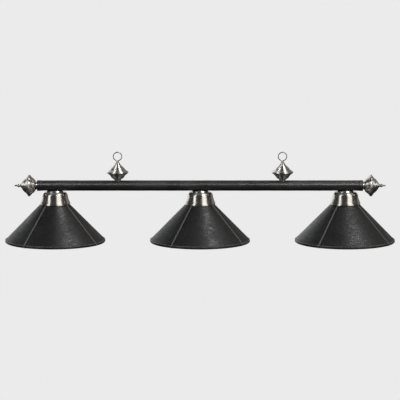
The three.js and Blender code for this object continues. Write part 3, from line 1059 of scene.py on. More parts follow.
def dress(node: str, finish: Finish) -> None:
    """Gives a finish to a piece of the frame that stays as it is.

    Args:
        node: The frame's node.
        finish: Its finish.
    """
    piece = frame["nodes"][node]
    piece.data.materials.clear()
    piece.data.materials.append(finish.material())
    log.info("dressed %s", node)


def middle_of(node: str) -> Vector:
    """The middle of a frame node's box, in metres."""
    low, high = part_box(node)
    return (low + high) / 2


def upright(x: float, height: float) -> Matrix:
    """A place whose axis points up."""
    return Matrix.Translation((x, 0.0, height))


# ------------------------------------------------------------------ the bar


@dataclass
class Bar:
    """The leather-covered bar with the wiring inside it, in millimetres."""

    radius: float = 20.35
    inner_radius: float = 19.35
    end_band: float = 13.0
    end_swell: float = 0.5
    ring_pitch: float = 7.0
    seam_angle: float = -48.0
    grommet_bore: float = 3.6
    place: Matrix = field(default_factory=Matrix)
    half_length: float = 0.0

    def __post_init__(self) -> None:
        """Takes the bar's place and length from the frame."""
        low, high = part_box("bar_leather")
        self.half_length = (high.x - low.x) / 2 / MM
        self.place = Matrix.Translation((low + high) / 2) @ Matrix.Rotation(math.pi / 2, 4, "Y")

    def ripple(self, points: np.ndarray) -> np.ndarray:
        """Makes the glued leather slightly uneven.

        Args:
            points: The sleeve's points about its own axis, in millimetres.

        Returns:
            The points, moved by up to a quarter of a millimetre.
        """
        angle = np.arctan2(points[:, 1], points[:, 0])
        length = points[:, 2]
        swell = 0.1 * np.sin(length / 23 + 2 * angle) + 0.08 * np.sin(length / 9.1 - angle + 1.3)
        radius = np.hypot(points[:, 0], points[:, 1])
        scale = (radius + swell) / radius
        moved = points.copy()
        moved[:, :2] *= scale[:, None]
        return moved

    def sleeve(self) -> None:
        """Builds the leather sleeve with its turned ends."""
        half, band, outer = self.half_length, self.end_band, self.radius + self.end_swell
        top = through([(self.radius, half - band - 2.5), (outer, half - band), (outer, half - 1)], 4)
        left = [(radius, -height) for radius, height in reversed(top)]
        long_run = spaced(left[-1], top[0], self.ring_pitch)[1:-1]
        outline = eased([(self.inner_radius, -half), (outer, -half), *left, *long_run, *top,
                         (outer, half)], 0.5)
        outline += [(self.inner_radius, half)]
        mesh = Lathe(outline, 72, self.ripple).mesh("bar_sleeve", self.place)
        put_on(mesh, "fixture", BAR_LEATHER, ["bar_leather"])

    def seam(self) -> None:
        """Builds the sleeve's long seam, low at the back."""
        angle = math.radians(self.seam_angle)
        outward = np.array([0.0, math.cos(angle), math.sin(angle)])
        centre = np.array(self.place.translation)
        xs = np.linspace(-self.half_length + 3, self.half_length - 3, 240) * MM
        surface = centre + outward * self.radius * MM
        points = np.stack([surface + np.array([x, 0.0, 0.0]) for x in xs])
        run = Run(points, np.tile(outward, (len(xs), 1)))
        section = [(-1.9, -0.5), (-1.7, 0.1), (-1.1, 0.55), (0.0, 0.7), (1.1, 0.55), (1.7, 0.1), (1.9, -0.5)]
        # The welt's light grey leather is a painted highlight along the seam.
        put_on(swept("bar_seam_welt", [run], section), "fixture", SEAM_LEATHER_PAINTED_HIGHLIGHT)
        stitches = StitchRow(pitch=4.6, offset=3.0).sew("bar_seam_stitches", [run])
        put_on(stitches, "fixture", THREAD)

    def grommet(self) -> None:
        """Builds the rubber grommet at the back, its flange bent over the bar."""
        low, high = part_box("cord_grommet")
        centre = self.place.translation
        x = (low.x + high.x) / 2
        face = (high.y - centre.y) / MM
        flange = (high.x - low.x) / 2 / MM
        bore = self.grommet_bore
        clear = self.radius + 0.35

        def over_bar(points: np.ndarray) -> np.ndarray:
            """Lifts the flange's back face onto the bar's surface."""
            across = points[:, 1]
            surface = np.sqrt(np.maximum(clear**2 - across**2, 0))
            under = (np.hypot(points[:, 0], points[:, 1]) > 6.1) & (points[:, 2] > 17)
            moved = points.copy()
            moved[:, 2] = np.where(under, np.maximum(points[:, 2], surface), points[:, 2])
            return moved

        outline = [
            (bore, 13.4),
            (6.9, 13.4),
            (6.9, 15.2),
            (6.0, 15.4),
            (6.0, 19.6),
            (flange, 19.6),
            *through([(flange, face - 1.2), (flange - 1.2, face - 0.3), (flange - 3, face)], 3),
            (bore + 0.5, face),
            (bore, face - 0.5),
        ]
        place = Matrix.Translation((x, centre.y, centre.z)) @ Matrix.Rotation(-math.pi / 2, 4, "X")
        mesh = Lathe(eased(outline, 0.35), 64, over_bar).mesh("rubber_grommet", place)
        put_on(mesh, "fixture", RUBBER, ["cord_grommet"])

    def build(self) -> None:
        """Builds and dresses the bar."""
        self.sleeve()
        self.seam()
        self.grommet()
        dress("bar_tube", STEEL)
        dress("splice_block", NYLON)
        for side in SIDES:
            dress(f"lead_{side}", JACKET)


# ------------------------------------------------------------------ finials


CONE_CURVE = [(42.5, 0.0), (42.2, 1.3), (41.0, 3.0), (38.4, 5.0), (33.0, 8.6), (28.9, 12.4),
              (26.2, 16.4), (22.0, 20.4),
              (17.7, 24.2)]


@dataclass
class Finial:
    """The spun cup and cone that the end finials and the hangers share, in millimetres."""

    cone_base: float = 31.3
    land: float = 2.6
    wall: float = 1.3
    stud_hole: float = 4.3
    corner: float = 0.45

    def inside(self, curve: Sequence[Point], toward: float) -> list[Point]:
        """The inner face of a spun wall.

        Args:
            curve: The outer face.
            toward: Which way the cavity's open end lies, 1 for up and -1 for down.

        Returns:
            The inner face, in the opposite order.
        """
        return [(radius - self.wall * 0.8, height + toward * self.wall * 0.75)
                for radius, height in reversed(curve)]

    def cup(self, foot: Sequence[Point], curve: Sequence[Point]) -> list[Point]:
        """The outline of a cup.

        Args:
            foot: The outline of its foot, from the hole outward.
            curve: The outer face from the foot to the rim.

        Returns:
            The outline.
        """
        wall = through([foot[-1], *curve], 6)
        rim = wall[-1]
        inner = self.inside(through(curve[:-2], 3), 1)
        hole = [(10.4, 2.1), (self.stud_hole, 2.1)]
        return eased([*foot[:-1], *wall, (rim[0] - self.land, rim[1]), *inner, *hole], self.corner)

    def cone(self, neck: Sequence[Point], inside: Sequence[Point]) -> list[Point]:
        """The outline of a cone.

        Args:
            neck: The outer face above the cone, from its foot upward.
            inside: What closes the outline, from the neck's top down to the cavity.

        Returns:
            The outline.
        """
        wall = through([*CONE_CURVE, *neck], 6)
        rim = wall[0]
        inner = self.inside(through(CONE_CURVE[2:], 3), -1)
        return eased([*wall, *inside, *inner, (rim[0] - self.land, rim[1])], self.corner)


@dataclass
class EndFinial(Finial):
    """The finial on one end of the bar."""

    side: str = "left"
    turn: int = -1
    plug_face: float = 0.2
    foot_radius: float = 15.0
    foot_length: float = 3.5
    neck_height: float = 33.0
    neck_radius: float = 5.8
    curve: tuple[Point, ...] = (
        (17.2, 4.8), (23.6, 8.6), (27.4, 12.5), (30.2, 16.4), (33.7, 20.4), (38.5, 24.3),
        (41.3, 27.3), (42.3, 29.6),
        (42.5, 31.0),
    )

    def build(self) -> None:
        """Builds and dresses the plug, cup, cone and tip."""
        bar_low, bar_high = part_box("bar_leather")
        end = bar_low.x if self.turn < 0 else bar_high.x
        centre = middle_of("bar_leather")
        spin = Matrix.Rotation(self.turn * math.pi / 2, 4, "Y")

        def at(distance: float) -> Matrix:
            """The place at a distance beyond the bar's end, its axis pointing outward."""
            return Matrix.Translation((end + self.turn * distance * MM, centre.y, centre.z)) @ spin

        foot_place = self.plug_face + 0.3
        cone_place = foot_place + self.cone_base
        foot = [(self.stud_hole, 0.0), (self.foot_radius, 0.0), (self.foot_radius, self.foot_length)]
        cup = Lathe(self.cup(foot, self.curve)).mesh(f"end_finial_cup_{self.side}", at(foot_place))
        put_on(cup, "fixture", POLISHED, [f"end_cup_{self.side}"])
        neck = [(11.8, 28.0), (7.6, 31.2), (self.neck_radius, self.neck_height)]
        bore = 3.3
        inside = [(bore, self.neck_height), (bore, 30.0), (8.6, 28.6)]
        cone = Lathe(self.cone(neck, inside)).mesh(f"end_finial_cone_{self.side}", at(cone_place))
        put_on(cone, "fixture", POLISHED, [f"end_cone_{self.side}"])
        tip_place = cone_place + self.neck_height + 0.3
        swell = through([(5.2, 2.4), (6.3, 4.6), (6.7, 7.0), (6.1, 9.0), (4.6, 11.0), (3.4, 13.2),
                         (3.0, 15.5)], 4)
        tip = [(0.0, 8.3), (bore, 8.3), (bore, 0.0), (5.2, 0.0), *swell]
        tip += through([(3.0, 21.0), (2.6, 22.4), (1.6, 23.2), (0.0, 23.5)], 4)
        tip_mesh = Lathe(eased(tip, 0.3, closed=False), 64).mesh(f"end_finial_tip_{self.side}", at(tip_place))
        put_on(tip_mesh, "fixture", POLISHED, [f"end_tip_{self.side}"])
        dress(f"end_plug_{self.side}", PLUG)


@dataclass
class Hanger(Finial):
    """The finial on top of the bar with its wire eye."""

    side: str = "left"
    turn: int = -1
    foot_height: float = 20.65
    foot_radius: float = 11.5
    curve: tuple[Point, ...] = (
        (16.3, 5.2), (22.5, 9.2), (25.7, 13.1), (28.0, 17.0), (31.2, 21.0), (36.4, 25.0),
        (40.2, 28.0), (42.0, 29.9),
        (42.4, 31.0),
    )
    saddle_radius: float = 10.5
    bar_clear: float = 20.65
    stud_radius: float = 4.0
    stud_end: float = 7.5
    eye_bore: float = 2.3
    head_radius: float = 3.4
    wire_radius: float = 2.0
    ring_radius: float = 16.4
    eye_height: float = 114.0

    def over_bar(self, points: np.ndarray) -> np.ndarray:
        """Bends the foot's underside over the bar.

        Args:
            points: The cup's points above its foot, in millimetres.

        Returns:
            The points, none of them inside the bar.
        """
        surface = np.sqrt(np.maximum(self.bar_clear**2 - points[:, 1] ** 2, 0)) - self.foot_height
        low = points[:, 2] < 0.5
        moved = points.copy()
        moved[:, 2] = np.where(low, np.maximum(points[:, 2], surface), points[:, 2])
        return moved

    def eye(self, x: float, centre: Vector) -> None:
        """Builds the bent wire eye on its shank.

        Args:
            x: The hanger's place along the bar, in metres.
            centre: The middle of the bar, in metres.
        """
        radius, wire = self.ring_radius, self.wire_radius
        head_top = self.foot_height + self.cone_base + 32.5 - self.eye_height
        path = [(0.0, head_top - 2.4), (0.0, head_top + 4), (0.0, -radius - 3.2), (1.4, -radius - 0.5)]
        start, stop = -76.0, 256.0
        path += arc((0.0, 0.0), radius, start, stop, 56)
        line = np.array(through(path, 3))
        count = len(line)
        along = np.gradient(line, axis=0)
        along /= np.linalg.norm(along, axis=1)[:, None]
        outward = np.stack([along[:, 1], -along[:, 0]], 1)
        sides = 18
        points, faces = [], []
        for i in range(count):
            size = wire * (0.72 if i in (0, count - 1) else 1.0)
            for j in range(sides):
                a = 2 * math.pi * j / sides
                flat = line[i] + outward[i] * size * math.cos(a)
                points.append((flat[0], size * math.sin(a), flat[1]))
        for i in range(count - 1):
            for j in range(sides):
                k = (j + 1) % sides
                faces.append((i * sides + j, i * sides + k, (i + 1) * sides + k, (i + 1) * sides + j))
        faces.append(tuple(reversed(range(sides))))
        faces.append(tuple((count - 1) * sides + j for j in range(sides)))
        base = np.array([x, centre.y, centre.z + self.eye_height * MM])
        mesh = mesh_from(f"wire_eye_{self.side}", np.array(points) * MM + base, faces)
        put_on(mesh, f"eye_{self.side}", WIRE, [f"eye_{self.side}"])
        head = eased([(0.0, head_top - 2.5), (self.head_radius, head_top - 2.5), (self.head_radius, head_top),
                      (0.0, head_top)], 0.4, closed=False)
        place = upright(x, centre.z + self.eye_height * MM)
        put_on(Lathe(head, 32).mesh(f"eye_head_{self.side}", place), f"eye_{self.side}", WIRE)

    def build(self) -> None:
        """Builds and dresses the cup, the cone with its stem, the eye and the nut."""
        centre = middle_of("bar_leather")
        x = middle_of(f"hanger_cup_{self.side}").x
        foot_place = upright(x, centre.z + self.foot_height * MM)
        cone_height = self.foot_height + self.cone_base
        cone_place = upright(x, centre.z + cone_height * MM)
        foot = [(self.stud_hole, -7.5), (self.saddle_radius, -7.5), (self.foot_radius - 0.4, -1.5),
                (self.foot_radius, 0.0)]
        outline = self.cup(foot, self.curve)
        cup = Lathe(outline, shaping=self.over_bar).mesh(f"hanger_finial_cup_{self.side}", foot_place)
        put_on(cup, "fixture", BRUSHED, [f"hanger_cup_{self.side}"])
        mesh = Lathe(self.cone_with_stem(cone_height)).mesh(f"hanger_finial_cone_{self.side}", cone_place)
        put_on(mesh, "fixture", BRUSHED, [f"hanger_cone_{self.side}"])
        self.eye(x, centre)
        dress(f"hanger_nut_{self.side}", ZINC)

    def cone_with_stem(self, cone_height: float) -> list[Point]:
        """The outline of the hanger's cone, which is one piece with its stem.

        Args:
            cone_height: How far the cone's rim is above the bar's axis.

        Returns:
            The outline, from the axis at the stem's end round to the axis in the pocket.
        """
        top = self.eye_height - self.ring_radius - self.wire_radius - 0.3 - cone_height
        wall = through([*CONE_CURVE, (12.9, 28.9), (9.6, 33.2), (7.3, 37.2), (6.1, 41.0), (6.0, top)], 6)
        inner = self.inside(through(CONE_CURVE[2:], 3), -1)
        stem = [(self.stud_radius, self.stud_end - cone_height), (self.stud_radius, 24.0)]
        pocket, floor, ceiling = self.head_radius + 0.5, 28.5, 33.0
        bore = [(self.eye_bore, top), (self.eye_bore, ceiling), (pocket, ceiling), (pocket, floor),
                (0.0, floor)]
        rim = (wall[0][0] - self.land, 0.0)
        return eased([(0.0, stem[0][1]), *stem, *inner, rim, *wall, *bore], self.corner, closed=False)


# ------------------------------------------------------------------ shades


@dataclass
class ShadeUnit:
    """One shade with its cap, lampholder and bulb. Heights are from the bar's axis, in millimetres."""

    side: str
    seed: int
    seams: tuple[float, ...] = (-35.0, 58.0, 148.0, 235.0)
    face_radius: float = 75.5
    face_height: float = -92.0
    slope: float = 0.978
    leather_top: float = -66.5
    crown: Point = (-63.7, -64.9)
    crown_hole: float = 20.2
    bead: Point = (191.0, -217.0)
    bead_radius: float = 4.7
    leather: float = 1.4
    bar_clear: float = 20.65
    nipple_radius: float = 5.0
    thread_pitch: float = 3.6
    x: float = 0.0
    axis: float = 0.0

    def __post_init__(self) -> None:
        """Takes the shade's place from the frame."""
        self.x = middle_of(f"cap_{self.side}").x
        self.axis = middle_of("bar_leather").z

    @property
    def place(self) -> Matrix:
        """The bar's axis over the shade's middle."""
        return upright(self.x, self.axis)

    def face(self, height: float, depth: float) -> Point:
        """A point of the shade's cone.

        Args:
            height: Its height.
            depth: How far it lies under the leather's face.

        Returns:
            The point as radius and height.
        """
        spread = math.hypot(1, self.slope)
        return (self.face_radius + self.slope * (self.face_height - height) - depth * spread, height)

    def cover_face(self) -> list[Point]:
        """The leather's outer face, from under the cap to the inner side of the bead."""
        low = self.bead[1] + 9.5
        face = spaced(self.face(self.leather_top, 0), self.face(low, 0), 4.0)
        tuck = through([self.face(low, 0), self.face(low - 3.5, 0.25), self.face(low - 6.0, 1.0)], 3)[1:]
        return [*face, *tuck, *arc(self.bead, self.bead_radius, 66, -180, 22)]

    def ripple(self, points: np.ndarray) -> np.ndarray:
        """Makes the stretched leather slightly uneven, with small puckers beside the seams.

        Args:
            points: The cover's points, in millimetres.

        Returns:
            The points, moved along the radius by up to half a millimetre.
        """
        rng = np.random.default_rng(self.seed)
        phases = rng.uniform(0, 2 * math.pi, 6)
        angle = np.arctan2(points[:, 0], -points[:, 1])
        radius = np.hypot(points[:, 0], points[:, 1])
        height = points[:, 2]
        swell = 0.16 * np.sin(3 * angle + height / 31 + phases[0])
        swell += 0.12 * np.sin(7 * angle - height / 17 + phases[1])
        swell += 0.07 * np.sin(height / 4.3 + 5 * np.sin(angle + phases[2]))
        for seam, phase in zip(self.seams, phases[2:]):
            apart = np.angle(np.exp(1j * (angle - math.radians(seam)))) * radius
            swell += 0.3 * np.exp(-((apart / 9) ** 2)) * np.sin(height / 2.6 + phase) * np.abs(apart / 9)
            swell -= 0.35 * np.exp(-((apart / 14) ** 2))
        fade = np.clip((height - self.bead[1] - 4) / 10, 0, 1)
        moved = points.copy()
        moved[:, :2] *= ((radius + swell * fade) / radius)[:, None]
        return moved

    def cover(self) -> None:
        """Builds the leather cover with its turned hem."""
        hem_low, hem_high = self.bead[1] + 6.0, self.bead[1] + 19.0
        flap = [
            *spaced(self.face(hem_low, 4.3), self.face(hem_high, 4.3), 4.0),
            *spaced(self.face(hem_high, 3.1), self.face(hem_low, 3.1), 4.0),
        ]
        inner_bead = arc(self.bead, self.bead_radius - self.leather, -180, 66, 16)
        back = [self.face(self.bead[1] + 6.0, 1.7), self.face(self.leather_top, 1.5)]
        outline = eased([*self.cover_face(), *flap, *inner_bead, *back], 0.35)
        mesh = Lathe(outline, 176, self.ripple).mesh(f"leather_cover_{self.side}", self.place)
        put_on(mesh, f"shade_{self.side}", LEATHER, [f"shade_leather_{self.side}"])

    def seam_runs(self) -> list[Run]:
        """The lines of the panels' seams over the cover."""
        outline = np.array(self.cover_face()[1:-8], float)
        tangent = np.gradient(outline, axis=0)
        tangent /= np.linalg.norm(tangent, axis=1)[:, None]
        normal = np.stack([-tangent[:, 1], tangent[:, 0]], 1)
        runs = []
        for seam in self.seams:
            a = math.radians(seam)
            out = np.array([math.sin(a), -math.cos(a)])
            points = np.stack([outline[:, 0] * out[0], outline[:, 0] * out[1], outline[:, 1]], 1) * MM
            normals = np.stack([normal[:, 0] * out[0], normal[:, 0] * out[1], normal[:, 1]], 1)
            runs.append(Run(points + np.array([self.x, 0.0, self.axis]), normals))
        return runs

    def piping(self) -> None:
        """Builds the thin piping where the cover turns over the bead; its light grey leather is a painted
        highlight along the rim.
        """
        outline = arc(self.face(self.bead[1] + 4.4, 0.3), 2.0, 180, -160, 16)
        mesh = Lathe(outline, 176).mesh(f"rim_piping_{self.side}", self.place)
        put_on(mesh, f"shade_{self.side}", PIPING_PAINTED_HIGHLIGHT)

    def seam_work(self) -> None:
        """Builds the raised seams and their stitches, and the stitches of the hem."""
        runs = self.seam_runs()
        section = [(-3.4, -0.9), (-3.0, 0.05), (-1.9, 0.6), (0.0, 0.85), (1.9, 0.6), (3.0, 0.05), (3.4, -0.9)]
        welt = swept(f"seam_welts_{self.side}", runs, section)
        # The welts' light grey leather is a painted highlight along each seam.
        put_on(welt, f"shade_{self.side}", SEAM_LEATHER_PAINTED_HIGHLIGHT)
        row = StitchRow(offset=0.0, lift=1.15, thread=0.42).sew(f"seam_stitches_{self.side}", runs)
        put_on(row, f"shade_{self.side}", THREAD)
        radius, height = self.face(self.bead[1] + 15.0, 4.3)
        angles = np.linspace(0, 2 * math.pi, 400)
        circle = np.stack([radius * np.cos(angles), radius * np.sin(angles), np.full(400, height)], 1) * MM
        spread = math.hypot(1, self.slope)
        inward = np.stack([-np.cos(angles) / spread, -np.sin(angles) / spread,
                           np.full(400, -self.slope / spread)], 1)
        run = Run(circle + np.array([self.x, 0.0, self.axis]), inward)
        hem = StitchRow(pitch=5.5, length=4.0).sew(f"hem_stitches_{self.side}", [run])
        put_on(hem, f"shade_{self.side}", THREAD)

    def shell(self) -> None:
        """Builds the spun metal shell that the leather covers."""
        top, under = self.crown
        outside = spaced(self.face(top, 1.8), self.face(self.bead[1] + 5.5, 1.9), 12.0)
        rolled = arc(self.bead, self.bead_radius - self.leather - 0.2, 70, -180, 16)
        inside = spaced(self.face(self.bead[1] + 5.5, 2.8), self.face(under, 2.8), 12.0)
        outline = eased([(self.crown_hole, top), *outside, *rolled, *inside, (self.crown_hole, under)], 0.4)
        mesh = Lathe(outline, 144).mesh(f"spun_shell_{self.side}", self.place)
        put_on(mesh, f"shade_{self.side}", ENAMEL, [f"shade_shell_{self.side}"])

    def cap(self) -> None:
        """Builds the spun cap and the collar between it and the bar."""
        hole = self.nipple_radius + 0.3
        curve = [(40.0, -25.8), (44.2, -27.6), (47.6, -31.0), (49.4, -35.0), (50.2, -39.0), (50.9, -43.0),
                 (51.8, -47.0), (52.9, -51.0), (54.2, -55.0), (55.7, -59.0), (57.4, -62.6), (58.9, -66.0)]
        outer = through(curve, 4)
        lip = [(59.5, -68.0), (59.4, -72.7), (58.1, -72.7), (58.1, -68.3)]
        inner = [(radius - 1.25, height - 0.35) for radius, height in reversed(outer)]
        inner[-1] = (39.4, -27.1)
        outline = eased([(hole, -25.5), (34.0, -25.5), *outer, *lip, *inner, (hole, -27.1)], 0.4)
        mesh = Lathe(outline, 144).mesh(f"spun_cap_{self.side}", self.place)
        put_on(mesh, "fixture", STAINLESS, [f"cap_{self.side}"])

        def under_bar(points: np.ndarray) -> np.ndarray:
            """Bends the collar's top under the bar."""
            surface = -np.sqrt(np.maximum(self.bar_clear**2 - points[:, 1] ** 2, 0))
            moved = points.copy()
            close = np.abs(points[:, 1]) < self.bar_clear
            moved[:, 2] = np.where(close, np.minimum(points[:, 2], surface), points[:, 2])
            return moved

        rings = spaced((29.0, -19.0), (hole, -19.0), 1.5)
        collar = eased([(hole, -25.2), (32.6, -25.2), (33.0, -24.6), (33.0, -22.7), *rings], 0.5)
        mesh = Lathe(collar, 144, under_bar).mesh(f"saddle_collar_{self.side}", self.place)
        put_on(mesh, "fixture", STAINLESS, [f"cap_collar_{self.side}"])

    def flutes(self, count: int, depth: float, low: float, high: float) -> Callable[[np.ndarray], np.ndarray]:
        """A shaping that cuts grip flutes into a turned piece.

        Args:
            count: How many flutes.
            depth: How deep they are.
            low: The lowest fluted height.
            high: The highest fluted height.

        Returns:
            The shaping.
        """

        def shape(points: np.ndarray) -> np.ndarray:
            """Cuts the flutes."""
            angle = np.arctan2(points[:, 1], points[:, 0])
            radius = np.maximum(np.hypot(points[:, 0], points[:, 1]), LEAST_RADIUS)
            inside = (points[:, 2] > low) & (points[:, 2] < high) & (radius > 18.5)
            cut = np.where(inside, depth * (0.5 + 0.5 * np.cos(count * angle)) ** 3, 0)
            moved = points.copy()
            moved[:, :2] *= ((radius - cut) / radius)[:, None]
            return moved

        return shape

    def thread(self, low: float, high: float, least: float,
               height: float) -> Callable[[np.ndarray], np.ndarray]:
        """A shaping that presses a screw thread into a turned piece.

        Args:
            low: Where the thread ends below.
            high: Where it ends above.
            least: The smallest radius that it shapes.
            height: How far the thread rises and falls.

        Returns:
            The shaping.
        """

        def shape(points: np.ndarray) -> np.ndarray:
            """Presses the thread."""
            angle = np.arctan2(points[:, 1], points[:, 0])
            radius = np.maximum(np.hypot(points[:, 0], points[:, 1]), LEAST_RADIUS)
            z = points[:, 2]
            fade = np.clip((z - low) / 1.5, 0, 1) * np.clip((high - z) / 1.5, 0, 1)
            wave = height * np.sin(2 * math.pi * z / self.thread_pitch - angle) * fade * (radius > least)
            moved = points.copy()
            moved[:, :2] *= ((radius + wave) / radius)[:, None]
            return moved

        return shape

    def holder(self) -> None:
        """Builds the lampholder, its screw shell and the ring that holds the shade."""
        bore = self.nipple_radius + 0.3
        body = [(0.0, -50.0), (bore, -50.0), (bore, -32.0), (12.0, -32.0), (16.2, -33.4), (19.5, -38.0),
                *spaced((19.5, -41.0), (19.5, -57.0), 2.0), (19.5, -60.0), (23.5, -60.0),
                (23.5, -63.2), (19.5, -63.2),
                *spaced((19.5, -71.5), (19.5, -86.0), 2.0), (19.5, -88.0), (14.9, -88.0),
                (14.9, -57.0), (0.0, -57.0)]
        shape = self.flutes(24, 0.8, -86.5, -71.0)
        mesh = Lathe(eased(body, 0.5, closed=False), 144, shape).mesh(f"holder_body_{self.side}", self.place)
        put_on(mesh, "fixture", PHENOLIC, [f"lampholder_{self.side}"])
        shell = [(9.0, -57.3), (14.3, -57.3), *spaced((14.25, -59.0), (14.25, -85.4), 0.6),
                 *spaced((13.75, -85.4), (13.75, -59.0), 0.6), (13.7, -58.0), (9.0, -58.0)]
        wall = Lathe(shell, 96, self.thread(-84.5, -61.0, 12.0, 0.32))
        mesh = wall.mesh(f"threaded_shell_{self.side}", self.place)
        put_on(mesh, "fixture", BRASS, [f"screw_shell_{self.side}"])
        ring = eased([(19.8, -70.5), (25.0, -70.5), (26.0, -69.6), (26.0, -66.2), (25.2, -65.4),
                      (19.8, -65.4)], 0.4)
        knurl = self.flutes(40, 0.7, -70.0, -65.9)
        mesh = Lathe(ring, 200, knurl).mesh(f"knurled_ring_{self.side}", self.place)
        put_on(mesh, "fixture", PHENOLIC, [f"shade_ring_{self.side}"])

    def bulb(self) -> None:
        """Builds the bulb's glass and screw base."""
        pear = [(13.0, -85.0), (13.6, -89.0), (14.8, -94.5), (16.8, -101.0), (20.3, -109.5), (24.2, -117.5),
                (27.6, -125.5), (29.6, -134.0), (29.7, -142.0), (27.8, -150.5), (23.6, -158.0),
                (17.4, -163.9),
                (9.0, -167.3), (0.0, -168.0)]
        outside = through(pear, 4)
        inside = [(max(radius - 1.1, 0.0), height + (0.0 if radius > 20 else 1.0))
                  for radius, height in outside]
        inside[0] = (11.9, -85.0)
        outline = [*outside, *reversed(inside)]
        mesh = Lathe(outline, 96).mesh(f"pear_glass_{self.side}", self.place)
        put_on(mesh, f"bulb_{self.side}", OPAL, [f"bulb_glass_{self.side}"])
        base = [(0.0, -84.7), *spaced((12.7, -84.7), (12.5, -83.0), 0.8),
                *spaced((12.5, -82.2), (12.5, -66.0), 0.6),
                (12.3, -65.2), (10.2, -63.4), (9.0, -62.4), (4.2, -60.2), (4.0, -58.8), (0.0, -58.4)]
        shape = self.thread(-82.5, -65.5, 11.5, 0.4)
        mesh = Lathe(eased(base, 0.3, closed=False), 96, shape).mesh(f"threaded_base_{self.side}", self.place)
        put_on(mesh, f"bulb_{self.side}", BRASS, [f"bulb_base_{self.side}"])

    def build(self) -> None:
        """Builds and dresses the whole unit."""
        self.cover()
        self.piping()
        self.seam_work()
        self.shell()
        self.cap()
        self.holder()
        self.bulb()
        for node in ("nipple", "bar_nut", "cap_nut"):
            dress(f"{node}_{self.side}", ZINC)


# ------------------------------------------------------------------ studio


@dataclass(frozen=True)
class SoftBox:
    """A soft light far away: its middle and size in degrees, azimuth 0 in front and 90 to the right."""

    azimuth: float
    elevation: float
    width: float
    height: float
    edge: float
    colour: Colour


@dataclass(frozen=True)
class Panel:
    """A rectangular light in metres and watts, set from the bar's middle, for all pieces or for some."""

    place: tuple[float, float, float]
    width: float
    height: float
    power: float
    lit: tuple[str, ...]


